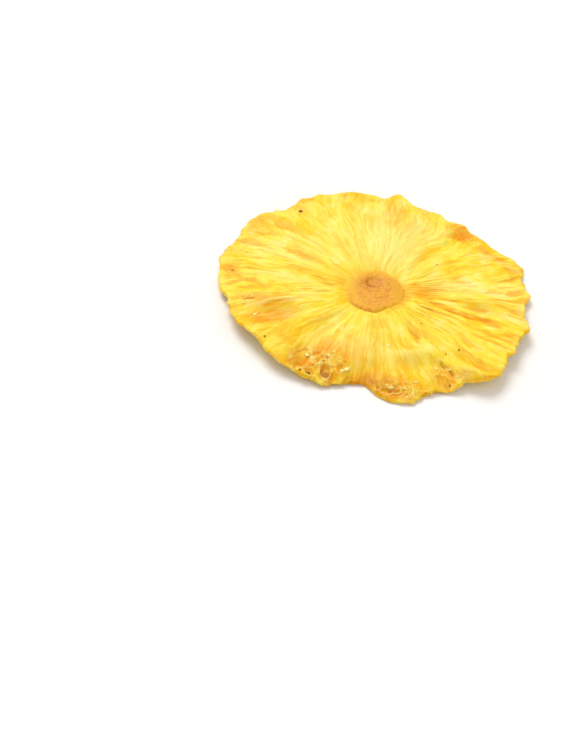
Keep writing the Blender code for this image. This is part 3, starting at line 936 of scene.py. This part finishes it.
@dataclass
class CorePlug:
    """The woody core: a grainy plug that shows on both faces, its ragged edge tucked under the flesh."""

    skin: FleshSkin
    steps: int = 300
    rings: int = 46
    spread: float = 1.22
    cloud: Spot = spot(-1.4, 3.4, 4.0, 2.6, 10.0)
    cloud_share: float = 0.26
    # Middle of the band of painted shade along the core's edge.
    shade_angle: float = -112.0
    edge_half_width: float = 46.0
    end_angle: float = 8.0
    end_share: float = 0.65
    end_flush: float = 0.55
    front_trim: float = 0.11
    front_angle: float = -85.0
    front_half_width: float = 60.0
    proud: float = 0.14 * MM
    tuck: float = 1.1 * MM
    grain: float = 0.06 * MM
    clearance: float = 0.1 * MM

    def height(self, side: Side, share: float, radius: float, angle: float) -> tuple[float, float]:
        """Height of one face of the plug, and how far the place lies in its pit."""
        form, relief = self.skin.form, self.skin.relief
        x, y = radius * math.cos(angle), radius * math.sin(angle)
        reach = form.reach_at(radius, angle, self.skin.rim(angle))
        base = self.skin.smooth_height(side, reach, angle, x, y)
        bumps = flat_noise(x, y, 0.5 * MM, 3.0 * side.value) + 0.8 * flat_noise(x, y, 1.2 * MM, 17.0)
        bundle, _ = noise.voronoi(Vector((x / (0.9 * MM), y / (0.9 * MM), 4.0 * side.value)))
        dots = 0.10 * MM * (1.0 - blend(0.1, 0.35, bundle[0]))
        pit = relief.pit_ring(x, y) if side is Side.UPPER else 0.0
        ragged = 0.045 * ring_noise(angle, 5.0, 33.0) + 0.040 * ring_noise(angle, 16.0, 35.0)
        front = self.front_trim * hill(turn_between(angle, self.front_angle) / self.front_half_width)
        ragged += 0.012 * ring_noise(angle, 40.0, 39.0) + front
        under = self.tuck * blend(0.76, 1.0, share + ragged)
        proud = self.proud * (1.0 - self.end_flush * math.cos(angle) ** 2)
        rise = proud + self.grain * bumps + dots - relief.pit_depth * pit - under
        return base + side.value * rise, pit

    def build(self) -> bpy.types.Object:
        """Wrap the plug's shell and carry its points to their places.

        Returns:
            The core object.
        """
        upper = [(ring / self.rings, 1.0) for ring in range(self.rings + 1)]
        lower = [(ring / self.rings, -1.0) for ring in range(self.rings + 1)]
        mesh, points = wrapped_shell(upper + lower[::-1], self.steps, ("pit", "edge"))
        pit, edge = (mesh.verts.layers.float[name] for name in ("pit", "edge"))
        form = self.skin.form
        for point in points:
            side = Side.UPPER if point.side > 0.0 else Side.LOWER
            radius = point.reach * self.spread * form.core_radius(point.angle)
            height, ring = self.height(side, point.reach, radius, point.angle)
            right, back = radius * math.cos(point.angle), radius * math.sin(point.angle)
            point.vert[pit] = max(ring, self.cloud_share * hill(self.cloud.distance(right, back)))
            ragged = 0.05 * ring_noise(point.angle, 4.0, 47.0)
            band = math.exp(-(((point.reach * self.spread + ragged - 0.88) / 0.080) ** 2))
            # The edge mask: painted shade along the front-left edge, and the core's own orange tail at the
            # right end.
            edge_shade = band * hill(turn_between(point.angle, self.shade_angle) / self.edge_half_width)
            end = self.end_share * hill(turn_between(point.angle, self.end_angle) / self.edge_half_width)
            point.vert[edge] = max(edge_shade, end * blend(0.50, 0.85, point.reach * self.spread))
            point.vert.co = form.from_core(right, back, max(height, self.clearance))
        return closed_shell(mesh, "core_plug")


@dataclass(frozen=True)
class Seed:
    """A seed or speck: its place in millimetres from the core's centre, its length and its direction."""

    x: float
    y: float
    length: float
    direction: float


@dataclass
class SeedSet:
    """Undeveloped seeds and dark specks, half sunk in the flesh."""

    skin: FleshSkin
    name: str
    seeds: tuple[Seed, ...]
    segments: int = 14
    rings: int = 9
    slenderness: float = 0.62
    flatness: float = 0.45
    pointedness: float = 0.28
    roughness: float = 0.10

    def build(self) -> bpy.types.Object:
        """Make each seed as a pointed ellipsoid lying on the flesh.

        Returns:
            The seeds, joined in one object.
        """
        form = self.skin.form
        mesh = bmesh.new()
        for seed in self.seeds:
            made = bmesh.ops.create_uvsphere(
                mesh, u_segments=self.segments, v_segments=self.rings, radius=1.0
            )
            half = 0.5 * seed.length * MM
            height = self.skin.surface(Side.UPPER, seed.x * MM, seed.y * MM) + 0.12 * half
            turn = Matrix.Rotation(math.radians(seed.direction), 4, "Z")
            place = Matrix.Translation(form.from_core(seed.x * MM, seed.y * MM, height))
            for vert in made["verts"]:
                point = 1.0 - self.pointedness * max(vert.co.x, 0.0)
                rough = 1.0 + self.roughness * noise.noise(vert.co * 2.2 + Vector((seed.x, seed.y, 0.0)))
                wide = vert.co.y * self.slenderness * point
                flat = Vector((vert.co.x, wide, vert.co.z * self.flatness * point))
                vert.co = place @ turn @ (flat * half * rough)
        bmesh.ops.recalc_face_normals(mesh, faces=mesh.faces)
        return finished(mesh, self.name)


@dataclass
class FibreStrands:
    """Pale loose strands that lie along the flesh from the core outwards."""

    skin: FleshSkin
    count: int = 170
    seed: int = 7
    sides: int = 5
    links: int = 12
    thickness: float = 0.055 * MM
    shortest: float = 3.0 * MM
    longest: float = 9.0 * MM
    least_radius: float = 11.0 * MM
    rim_margin: float = 2.0 * MM
    most_drift: float = 0.05
    sinks: tuple[float, float] = (0.01, 0.04)

    def route(self, draw: random.Random) -> list[Vector]:
        """Points of one strand, laid on the upper face along the fibres.

        Args:
            draw: The seeded source of random numbers.

        Returns:
            The points, from the core outwards.
        """
        form = self.skin.form
        angle = draw.uniform(-math.pi, math.pi)
        room = self.skin.rim(angle) - self.rim_margin
        length = draw.uniform(self.shortest, self.longest)
        start = draw.uniform(self.least_radius, room - length)
        drift = draw.uniform(-self.most_drift, self.most_drift)
        sink = draw.uniform(*self.sinks) * MM
        points = []
        for link in range(self.links + 1):
            share = link / self.links
            radius = start + length * share
            turned = angle + drift * share * share + 0.008 * ring_noise(angle, 9.0, radius / (6.0 * MM))
            x, y = radius * math.cos(turned), radius * math.sin(turned)
            height = self.skin.surface(Side.UPPER, x, y) - sink
            points.append(form.from_core(x, y, height))
        return points

    def build(self) -> bpy.types.Object:
        """Lay each strand as a thin tapered tube.

        Returns:
            The strands, joined in one object.
        """
        draw = random.Random(self.seed)
        template = unit_tube(self.sides, self.links)
        joined = Joined("fibre_strands")
        for _ in range(self.count):
            joined.add(laid_tube(template, self.route(draw), self.thickness * draw.uniform(0.7, 1.3)))
        template.free()
        return joined.build()


@dataclass
class Joined:
    """Many small meshes gathered in one object."""

    name: str
    mesh: bmesh.types.BMesh = field(default_factory=bmesh.new)

    def add(self, part: bmesh.types.BMesh) -> None:
        """Take in a small mesh, and free it."""
        data = bpy.data.meshes.new("part")
        part.to_mesh(data)
        part.free()
        self.mesh.from_mesh(data)
        bpy.data.meshes.remove(data)

    def build(self) -> bpy.types.Object:
        """The object with every small mesh in it, faces outwards."""
        bmesh.ops.recalc_face_normals(self.mesh, faces=self.mesh.faces)
        return finished(self.mesh, self.name)


def unit_tube(sides: int, links: int) -> bmesh.types.BMesh:
    """A closed tube of radius 1 and length 1 along +Z, cut into links."""
    mesh = bmesh.new()
    bmesh.ops.create_cone(mesh, cap_ends=True, segments=sides, radius1=1.0, radius2=1.0, depth=1.0)
    long_edges = [edge for edge in mesh.edges if abs(edge.verts[0].co.z - edge.verts[1].co.z) > 0.5]
    bmesh.ops.subdivide_edges(mesh, edges=long_edges, cuts=links - 1, use_grid_fill=True)
    return mesh


def laid_tube(template: bmesh.types.BMesh, points: list[Vector], radius: float) -> bmesh.types.BMesh:
    """A copy of a unit tube laid along some points, tapered to both ends.

    Args:
        template: The unit tube, with one link fewer than there are points.
        points: The points of its middle line.
        radius: Its radius halfway along.

    Returns:
        The laid tube.
    """
    last = len(points) - 1
    frames = []
    for link in range(last + 1):
        ahead = points[min(link + 1, last)] - points[max(link - 1, 0)]
        taper = 0.25 + 0.75 * math.sin(math.pi * (link + 0.5) / (last + 1.0))
        frames.append((points[link], ahead.to_track_quat("Z", "Y"), radius * taper))
    tube = template.copy()
    for vert in tube.verts:
        middle, turn, size = frames[round((vert.co.z + 0.5) * last)]
        vert.co = middle + turn @ Vector((vert.co.x * size, vert.co.y * size, 0.0))
    return tube


@dataclass(frozen=True)
class Flake:
    """A loose flake: its place, length and width in millimetres, its direction, and how far it curls up."""

    x: float
    y: float
    length: float
    width: float
    direction: float
    curl: float


@dataclass
class LooseFlakes:
    """Small crumpled flakes of torn membrane, half sunk in the flesh."""

    skin: FleshSkin
    flakes: tuple[Flake, ...]
    fineness: int = 4
    crumple: float = 0.45
    fine_crumple: float = 0.22
    pointedness: float = 0.45
    flatness: float = 0.34

    def shaped(self, flake: Flake) -> bmesh.types.BMesh:
        """One flake: a flat ball with pointed ends, folded and crumpled by noise."""
        form = self.skin.form
        mesh = bmesh.new()
        bmesh.ops.create_icosphere(mesh, subdivisions=self.fineness, radius=1.0)
        turn = Matrix.Rotation(math.radians(flake.direction), 3, "Z")
        base = self.skin.surface(Side.UPPER, flake.x * MM, flake.y * MM)
        middle = form.from_core(flake.x * MM, flake.y * MM, base)
        seed = Vector((flake.x, flake.y, flake.length))
        for vert in mesh.verts:
            ridge = 1.0 - 2.2 * abs(noise.noise(vert.co * 1.6 + seed))
            fine = noise.noise(vert.co * 3.4 + seed)
            size = 1.0 + self.crumple * (ridge - 0.6) + self.fine_crumple * fine
            narrow = 1.0 - self.pointedness * vert.co.x * vert.co.x
            flat = Vector((0.5 * flake.length * vert.co.x, 0.5 * flake.width * narrow * vert.co.y, 0.0))
            flat.z = self.flatness * flake.curl * narrow * vert.co.z
            vert.co = middle + turn @ (flat * size) * MM
        return mesh

    def build(self) -> bpy.types.Object:
        """Shape every flake.

        Returns:
            The flakes, joined in one object.
        """
        joined = Joined("loose_flakes")
        for flake in self.flakes:
            joined.add(self.shaped(flake))
        return joined.build()


@dataclass
class Crumbs:
    """Small pale crumbs and grains, on the core and in the torn flesh."""

    skin: FleshSkin
    fields: tuple[tuple[Spot, int], ...]
    seed: int = 21
    sizes: tuple[float, float] = (0.09 * MM, 0.24 * MM)
    stretches: tuple[float, float] = (1.0, 1.8)

    def build(self) -> bpy.types.Object:
        """Scatter the crumbs over their fields.

        Returns:
            The crumbs, joined in one object.
        """
        form = self.skin.form
        draw = random.Random(self.seed)
        template = bmesh.new()
        bmesh.ops.create_icosphere(template, subdivisions=1, radius=1.0)
        joined = Joined("pale_crumbs")
        for area, count in self.fields:
            for _ in range(count):
                turn, out = draw.uniform(0.0, 2.0 * math.pi), math.sqrt(draw.random())
                along = out * area.half_length * math.cos(turn)
                across = out * area.half_width * math.sin(turn)
                _, cosine, sine = area.turning
                x, y = area.x + along * cosine - across * sine, area.y + along * sine + across * cosine
                size = draw.uniform(*self.sizes)
                spin = Quaternion((*(draw.uniform(-1, 1) for _ in range(3)), 1.0)).normalized()
                middle = form.from_core(x, y, self.skin.top(x, y))
                stretch = draw.uniform(*self.stretches)
                crumb = template.copy()
                for vert in crumb.verts:
                    rough = 1.0 + 0.35 * noise.noise(vert.co * 1.5 + Vector((x, y, 0.0)) / MM)
                    body = Vector((vert.co.x * stretch, vert.co.y, 0.5 * vert.co.z)) * size * rough
                    flat = spin @ body
                    vert.co = middle + Vector((flat.x, flat.y, 0.4 * flat.z))
                joined.add(crumb)
        template.free()
        return joined.build()


@dataclass
class Shader:
    """A material under construction, with short calls for its nodes."""

    name: str
    tree: bpy.types.NodeTree = field(init=False)
    material: bpy.types.Material = field(init=False)
    principled: bpy.types.Node = field(init=False)

    def __post_init__(self) -> None:
        """Start the material with its shader alone."""
        self.material = bpy.data.materials.new(self.name)
        self.material.use_nodes = True
        self.tree = self.material.node_tree
        self.principled = self.tree.nodes["Principled BSDF"]

    def node(self, kind: str, values: dict | None = None, **settings) -> bpy.types.Node:
        """Add a node.

        Args:
            kind: The node's type.
            values: Values or links of its inputs, by name or number.
            **settings: Its own settings.

        Returns:
            The node.
        """
        made = self.tree.nodes.new(kind)
        for key, value in settings.items():
            setattr(made, key, value)
        for key, value in (values or {}).items():
            self.put(made.inputs[key], value)
        return made

    def put(self, socket: bpy.types.NodeSocket, value) -> None:
        """Link a socket to another one, or set its value."""
        if isinstance(value, bpy.types.NodeSocket):
            self.tree.links.new(value, socket)
        elif isinstance(value, tuple) and len(value) == 3 and socket.type == "RGBA":
            socket.default_value = (*value, 1.0)
        else:
            socket.default_value = value

    def mask(self, name: str) -> bpy.types.NodeSocket:
        """A mask stored on the mesh."""
        return self.node("ShaderNodeAttribute", attribute_name=name).outputs["Fac"]

    def math(self, operation: str, *values, clamp: bool = False) -> bpy.types.NodeSocket:
        """A calculation on numbers."""
        numbered = dict(enumerate(values))
        return self.node("ShaderNodeMath", numbered, operation=operation, use_clamp=clamp).outputs[0]

    def vector(self, operation: str, *values) -> bpy.types.Node:
        """A calculation on vectors."""
        return self.node("ShaderNodeVectorMath", dict(enumerate(values)), operation=operation)

    def mix(self, share, first, second) -> bpy.types.NodeSocket:
        """A mix of two colours."""
        made = self.node("ShaderNodeMix", data_type="RGBA", blend_type="MIX")
        self.put(made.inputs[0], share)
        self.put(made.inputs[6], first)
        self.put(made.inputs[7], second)
        return made.outputs[2]

    def span(
        self, value, low: float, high: float, bottom: float = 0.0, top: float = 1.0
    ) -> bpy.types.NodeSocket:
        """A number carried from one range to another, and kept in it."""
        inputs = {"Value": value, "From Min": low, "From Max": high, "To Min": bottom, "To Max": top}
        return self.node("ShaderNodeMapRange", inputs).outputs[0]

    def noise(
        self, place, scale: float, detail: float = 3.0, roughness: float = 0.55
    ) -> bpy.types.NodeSocket:
        """A noise texture's value at a place."""
        inputs = {"Vector": place, "Scale": scale, "Detail": detail, "Roughness": roughness}
        return self.node("ShaderNodeTexNoise", inputs).outputs["Fac"]

    def place(self) -> bpy.types.NodeSocket:
        """The place on the piece, in metres."""
        return self.node("ShaderNodeTexCoord").outputs["Object"]

    def along_fibres(self, form: SliceForm, closeness: float, stretch: float) -> bpy.types.NodeSocket:
        """A place measured round the core and outwards, so that a noise on it runs along the fibres.

        Args:
            form: The slice's form, for the core's centre.
            closeness: How close the fibres lie.
            stretch: Noise lengths to a metre outwards.

        Returns:
            The place as a vector.
        """
        drift = self.node("ShaderNodeTexNoise", {"Vector": self.place(), "Scale": 85.0, "Detail": 2.0})
        drift = self.vector("SUBTRACT", drift.outputs["Color"], (0.5, 0.5, 0.5)).outputs[0]
        drift = self.vector("MULTIPLY", drift, (9.0 * MM, 9.0 * MM, 0.0)).outputs[0]
        centred = self.vector("SUBTRACT", self.place(), (form.core_x, form.core_y, 0.0)).outputs[0]
        centred = self.vector("ADD", centred, drift).outputs[0]
        flat = self.vector("MULTIPLY", centred, (1.0, 1.0, 0.0)).outputs[0]
        turned = self.vector("NORMALIZE", flat).outputs[0]
        ring = self.vector("SCALE", turned)
        ring.inputs["Scale"].default_value = closeness
        outwards = self.math("MULTIPLY", self.vector("LENGTH", flat).outputs["Value"], stretch)
        height = self.node("ShaderNodeCombineXYZ", {"Z": outwards}).outputs[0]
        return self.vector("ADD", ring.outputs[0], height).outputs[0]

    def bump(self, height, strength: float, distance: float, below=None) -> bpy.types.NodeSocket:
        """A bump from a height."""
        inputs = {"Height": height, "Strength": strength, "Distance": distance}
        if below is not None:
            inputs["Normal"] = below
        return self.node("ShaderNodeBump", inputs).outputs[0]


@dataclass(frozen=True)
class FleshFinish:
    """Dried yellow flesh: waxy and fibrous, with painted light that makes its crests pale and painted shade
    that makes its hollows golden to orange.
    """

    form: SliceForm
    yellow: Colour = linear(251, 223, 40)
    light: Colour = linear(251, 234, 90)
    pale: Colour = linear(251, 241, 142)
    gold: Colour = linear(250, 199, 18)
    orange: Colour = linear(243, 154, 8)
    brown: Colour = linear(186, 118, 10)
    roughness: float = 0.46
    subsurface: float = 0.45
    subsurface_scale: float = 1.7 * MM
    subsurface_radius: tuple[float, float, float] = (1.0, 0.42, 0.08)
    specular: float = 0.18

    def material(self) -> bpy.types.Material:
        """The finish as a node material."""
        shader = Shader("dried_flesh")
        streak = shader.noise(shader.along_fibres(self.form, 34.0, 130.0), 1.0, 4.0, 0.62)
        thread = shader.noise(shader.along_fibres(self.form, 95.0, 300.0), 1.0, 3.0, 0.6)
        patch = shader.noise(shader.along_fibres(self.form, 7.0, 75.0), 1.0, 3.0, 0.6)
        blotch = shader.noise(shader.place(), 170.0, 4.0, 0.6)
        grain = shader.noise(shader.place(), 1900.0, 2.0, 0.6)
        # lit: the fibres' crests as painted light, mixed with the flesh's own streaks, threads and patches.
        crest = shader.mask("crest")
        lit = shader.math("MULTIPLY", crest, 0.36)
        for texture, share in ((streak, 0.64), (thread, 0.42), (patch, 0.50)):
            lit = shader.math("ADD", lit, shader.math("MULTIPLY", texture, share))
        base = shader.mix(shader.span(lit, 0.73, 0.93), self.gold, self.yellow)
        base = shader.mix(shader.span(lit, 0.89, 1.07), base, self.light)
        base = shader.mix(shader.span(blotch, 0.54, 0.66, 0.0, 0.75), base, self.gold)
        base = shader.mix(shader.span(blotch, 0.46, 0.34, 0.0, 0.60), base, self.pale)
        pale = shader.math("MULTIPLY", shader.mask("pale"), shader.span(lit, 0.62, 1.02, 0.25, 1.0))
        base = shader.mix(pale, base, self.pale)
        gold = shader.math("MULTIPLY", shader.mask("gold"), shader.span(lit, 0.77, 1.07, 0.95, 0.45))
        base = shader.mix(gold, base, self.gold)
        # Orange in the slits between fibres: painted shade.
        base = shader.mix(shader.math("MULTIPLY", shader.mask("slit"), 0.8, clamp=True), base, self.orange)
        # The orange mask grows stronger where lit is low: painted shade in the hollows, on top of the orange
        # stains and marks.
        orange = shader.span(lit, 0.72, 1.07, 1.1, 0.6)
        orange = shader.math("MULTIPLY", shader.mask("orange"), orange, clamp=True)
        base = shader.mix(orange, base, self.orange)
        base = shader.mix(shader.mask("brown"), base, self.brown)
        # Pale on the crests of the torn folds: painted light.
        torn = shader.span(shader.mask("torn"), 0.30, 0.85, 0.0, 0.60)
        base = shader.mix(torn, base, self.pale)
        base = shader.mix(shader.math("MULTIPLY", shader.mask("lip"), 0.7), base, self.pale)
        base = shader.mix(shader.span(grain, 0.3, 0.7, 0.0, 0.10), base, self.orange)
        shader.put(shader.principled.inputs["Base Color"], base)
        rough = shader.span(thread, 0.3, 0.7, self.roughness - 0.10, self.roughness + 0.14)
        shader.put(shader.principled.inputs["Roughness"], rough)
        threads = shader.bump(thread, 0.40, 0.18 * MM)
        fine = shader.bump(grain, 0.15, 0.08 * MM, threads)
        shader.put(shader.principled.inputs["Normal"], fine)
        shader.put(shader.principled.inputs["Subsurface Weight"], self.subsurface)
        shader.put(shader.principled.inputs["Subsurface Scale"], self.subsurface_scale)
        shader.principled.inputs["Subsurface Radius"].default_value = self.subsurface_radius
        shader.put(shader.principled.inputs["Specular IOR Level"], self.specular)
        return shader.material


@dataclass(frozen=True)
class CoreFinish:
    """The woody core: orange-tan and grainy, with veins, a brown pit, a more golden edge and painted shade
    along its front-left edge.
    """

    form: SliceForm
    tan: Colour = linear(228, 152, 30)
    light: Colour = linear(242, 182, 56)
    dark: Colour = linear(214, 132, 16)
    edge: Colour = linear(248, 198, 24)
    # Colour of the painted shade along the core's front-left edge.
    edge_shade: Colour = linear(216, 140, 10)
    pit: Colour = linear(170, 88, 20)
    specular: float = 0.3

    def material(self) -> bpy.types.Material:
        """The finish as a node material."""
        shader = Shader("woody_core")
        place = shader.place()
        grain = shader.noise(place, 1300.0, 4.0, 0.62)
        patch = shader.noise(place, 420.0, 3.0, 0.55)
        vein = shader.noise(place, 620.0, 2.0, 0.5)
        vein = shader.math("ABSOLUTE", shader.math("SUBTRACT", vein, 0.5))
        centred = shader.vector("SUBTRACT", place, (self.form.core_x, self.form.core_y, 0.0)).outputs[0]
        flat = shader.vector("MULTIPLY", centred, (1.14, 0.80, 0.0)).outputs[0]
        outwards = shader.vector("LENGTH", flat).outputs["Value"]
        outwards = shader.math("ADD", outwards, shader.math("MULTIPLY", patch, 5.0 * MM))
        base = shader.mix(shader.span(grain, 0.40, 0.62), self.tan, self.light)
        base = shader.mix(shader.span(patch, 0.46, 0.66, 0.0, 0.6), base, self.dark)
        base = shader.mix(shader.span(vein, 0.0, 0.03, 0.4, 0.0), base, self.dark)
        base = shader.mix(shader.span(outwards, 7.6 * MM, 11.6 * MM, 0.0, 0.95), base, self.edge)
        # Painted shade along the front-left edge, and the orange tail at the right end.
        base = shader.mix(shader.math("MULTIPLY", shader.mask("edge"), 0.8), base, self.edge_shade)
        base = shader.mix(shader.math("MULTIPLY", shader.mask("pit"), 1.15, clamp=True), base, self.pit)
        shader.put(shader.principled.inputs["Base Color"], base)
        shader.put(shader.principled.inputs["Roughness"], shader.span(grain, 0.3, 0.7, 0.42, 0.62))
        shader.put(shader.principled.inputs["Normal"], shader.bump(grain, 0.4, 0.15 * MM))
        shader.put(shader.principled.inputs["Specular IOR Level"], self.specular)
        return shader.material


@dataclass(frozen=True)
class PlainFinish:
    """A finish of one main colour with fine speckles of another, for seeds and strands."""

    name: str
    colour: Colour
    speckle: Colour
    scale: float
    roughness: float

    def material(self) -> bpy.types.Material:
        """The finish as a node material."""
        shader = Shader(self.name)
        grain = shader.noise(shader.place(), self.scale, 3.0, 0.6)
        shader.put(
            shader.principled.inputs["Base Color"],
            shader.mix(shader.span(grain, 0.40, 0.65), self.colour, self.speckle),
        )
        shader.put(shader.principled.inputs["Roughness"], self.roughness)
        shader.put(shader.principled.inputs["Normal"], shader.bump(grain, 0.2, 0.06 * MM))
        return shader.material


@dataclass(frozen=True)
class PhotoCamera:
    """The camera at the picture's viewing angle: it sees the core's centre at the same pixel."""

    form: SliceForm
    elevation: float = 39.5
    roll: float = 9.0
    distance: float = 0.56
    pixel_size: float = 0.2857 * MM
    core_pixel: tuple[float, float] = (375.0, 290.0)
    core_height: float = 5.0 * MM
    film: float = 36.0

    def place(self) -> bpy.types.Object:
        """Create the camera and make it the scene's own."""
        focal = self.distance / self.pixel_size
        right = self.core_pixel[0] - PHOTO_WIDTH / 2.0
        down = self.core_pixel[1] - PHOTO_HEIGHT / 2.0
        ray = Vector((right / focal, -down / focal, -1.0)).normalized()
        rise = math.radians(self.elevation)
        view = Vector((0.0, math.cos(rise), -math.sin(rise)))
        level = view.to_track_quat("-Z", "Y")
        roll = Quaternion(view, -math.radians(self.roll))
        offset = ray.rotation_difference(Vector((0.0, 0.0, -1.0)))
        data = bpy.data.cameras.new("photo_camera")
        data.sensor_fit = "VERTICAL"
        data.sensor_height = self.film
        data.lens = focal * self.film / PHOTO_HEIGHT
        camera = bpy.data.objects.new("photo_camera", data)
        core = Vector((self.form.core_x, self.form.core_y, self.core_height))
        camera.location = core - self.distance * view
        camera.rotation_mode = "QUATERNION"
        camera.rotation_quaternion = roll @ level @ offset
        bpy.context.scene.collection.objects.link(camera)
        bpy.context.scene.camera = camera
        return camera


@dataclass(frozen=True)
class Studio:
    """A plain pale floor, soft light from above and behind, and a pale surround."""

    floor_size: float = 6.0
    floor_colour: Colour = (0.93, 0.93, 0.93)
    floor_roughness: float = 0.9
    surround: float = 0.62
    surround_tint: Colour = (1.0, 0.945, 0.90)
    key_place: tuple[float, float, float] = (-0.30, 0.46, 0.62)
    key_strength: float = 1.9
    key_spread: float = 36.0
    fill_place: tuple[float, float, float] = (0.45, -0.45, 0.55)
    fill_strength: float = 0.35
    fill_spread: float = 70.0

    def lamp(self, name: str, place: tuple[float, float, float], spread: float, strength: float) -> None:
        """Add a broad, soft lamp that shines from a place towards the slice."""
        data = bpy.data.lights.new(name, "SUN")
        data.angle = math.radians(spread)
        data.energy = strength
        lamp = bpy.data.objects.new(name, data)
        lamp.location = place
        lamp.rotation_euler = (-Vector(place)).to_track_quat("-Z", "Y").to_euler()
        bpy.context.scene.collection.objects.link(lamp)

    def build(self) -> bpy.types.Object:
        """Make the floor, the lamps and the surround.

        Returns:
            The floor.
        """
        mesh = bmesh.new()
        bmesh.ops.create_grid(mesh, x_segments=1, y_segments=1, size=0.5 * self.floor_size)
        floor = finished(mesh, "floor")
        shader = Shader("pale_floor")
        shader.put(shader.principled.inputs["Base Color"], self.floor_colour)
        shader.put(shader.principled.inputs["Roughness"], self.floor_roughness)
        floor.data.materials.append(shader.material)
        self.lamp("key", self.key_place, self.key_spread, self.key_strength)
        self.lamp("fill", self.fill_place, self.fill_spread, self.fill_strength)
        world = bpy.data.worlds.new("pale_surround")
        world.use_nodes = True
        world.node_tree.nodes["Background"].inputs["Color"].default_value = (*self.surround_tint, 1.0)
        world.node_tree.nodes["Background"].inputs["Strength"].default_value = self.surround
        bpy.context.scene.world = world
        bpy.context.scene.view_settings.view_transform = "Standard"
        return floor


def dress(piece: bpy.types.Object, material: bpy.types.Material) -> None:
    """Give a piece its finish, let it ride with the slice and report it."""
    piece.data.materials.append(material)
    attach(piece, "root")
    log.info("%s: %d faces", piece.name, len(piece.data.polygons))


DARK_SEEDS = (
    Seed(-14.5, -36.6, 1.6, 150.0),
    Seed(-16.8, -36.2, 0.8, 40.0),
    Seed(-28.0, -27.4, 0.75, 80.0),
    Seed(-25.6, 32.6, 1.2, 10.0),
    Seed(25.6, -19.6, 0.8, -30.0),
    Seed(22.2, -21.5, 0.6, 60.0),
    Seed(24.4, -31.4, 0.9, 70.0),
    Seed(-10.9, -31.2, 0.7, 20.0),
)
RED_SPECKS = (
    Seed(16.7, 16.5, 0.8, 40.0),
    Seed(-41.3, 2.4, 1.2, 10.0),
    Seed(14.4, -10.5, 0.6, 0.0),
    Seed(-10.2, -30.2, 0.8, 120.0),
    Seed(-38.6, 11.8, 0.5, 30.0),
    Seed(2.6, 1.6, 0.7, 20.0),
)
FLAKES = (
    Flake(-15.4, -29.6, 1.9, 1.1, 60.0, 0.5),
    Flake(-16.1, -30.7, 1.2, 0.7, 20.0, 0.4),
    Flake(-14.0, -31.6, 0.9, 0.5, 100.0, 0.3),
    Flake(-9.7, -29.2, 2.0, 0.8, 78.0, 0.6),
    Flake(-8.4, -28.2, 1.0, 0.5, 40.0, 0.3),
    Flake(-6.6, -29.4, 1.1, 0.7, 60.0, 0.4),
    Flake(-11.8, -32.4, 1.1, 0.7, 100.0, 0.4),
    Flake(-4.2, -32.8, 2.2, 1.2, 40.0, 0.7),
    Flake(-5.5, -33.6, 1.3, 0.9, 110.0, 0.5),
    Flake(6.0, -21.3, 1.2, 0.9, 80.0, 0.4),
    Flake(20.0, -26.6, 1.3, 0.6, 110.0, 0.4),
    Flake(23.8, -27.0, 1.2, 0.5, 60.0, 0.4),
    Flake(15.0, -32.8, 1.4, 0.6, 20.0, 0.4),
    Flake(12.3, -35.9, 1.6, 0.6, -10.0, 0.4),
    Flake(8.4, -37.0, 1.5, 0.6, 15.0, 0.4),
    Flake(-25.5, -21.9, 1.1, 0.4, 40.0, 0.3),
    Flake(-32.0, -17.6, 1.9, 0.7, 50.0, 0.4),
    Flake(-35.9, -14.2, 1.0, 0.6, 20.0, 0.3),
    Flake(-34.0, -9.4, 1.3, 0.5, 30.0, 0.4),
)
CRUMB_FIELDS = (
    (spot(0.0, 0.5, 8.0, 7.2, 0.0), 46),
    (spot(-12.0, -31.5, 8.0, 4.2, 0.0), 30),
    (spot(13.0, -35.8, 7.0, 3.2, 0.0), 24),
    (spot(-34.5, -11.5, 4.0, 3.0, 0.0), 10),
)
SEED_BROWN = PlainFinish("seed_brown", linear(112, 52, 24), linear(158, 84, 38), 2600.0, 0.42)
SPECK_RUST = PlainFinish("speck_rust", linear(206, 108, 40), linear(228, 140, 50), 2600.0, 0.5)
PALE_STRAND = PlainFinish("pale_strand", linear(255, 238, 120), linear(254, 226, 80), 900.0, 0.4)
PALE_FLAKE = PlainFinish("pale_flake", linear(255, 244, 168), linear(255, 230, 106), 1500.0, 0.34)
PALE_CRUMB = PlainFinish("pale_crumb", linear(255, 238, 140), linear(254, 218, 80), 1500.0, 0.4)


def main() -> None:
    """Build the camera, the studio and every piece of the slice."""
    form = SliceForm()
    PhotoCamera(form).place()
    Studio().build()
    skin = FleshSkin(form, FleshRelief(form))
    flesh = skin.build()
    dress(flesh, FleshFinish(form).material())
    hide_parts(NODE)
    dress(CorePlug(skin).build(), CoreFinish(form).material())
    dress(SeedSet(skin, "dark_seeds", DARK_SEEDS).build(), SEED_BROWN.material())
    dress(SeedSet(skin, "red_specks", RED_SPECKS).build(), SPECK_RUST.material())
    dress(FibreStrands(skin).build(), PALE_STRAND.material())
    dress(LooseFlakes(skin, FLAKES).build(), PALE_FLAKE.material())
    dress(Crumbs(skin, CRUMB_FIELDS).build(), PALE_CRUMB.material())


if __name__ == "__main__":
    main()
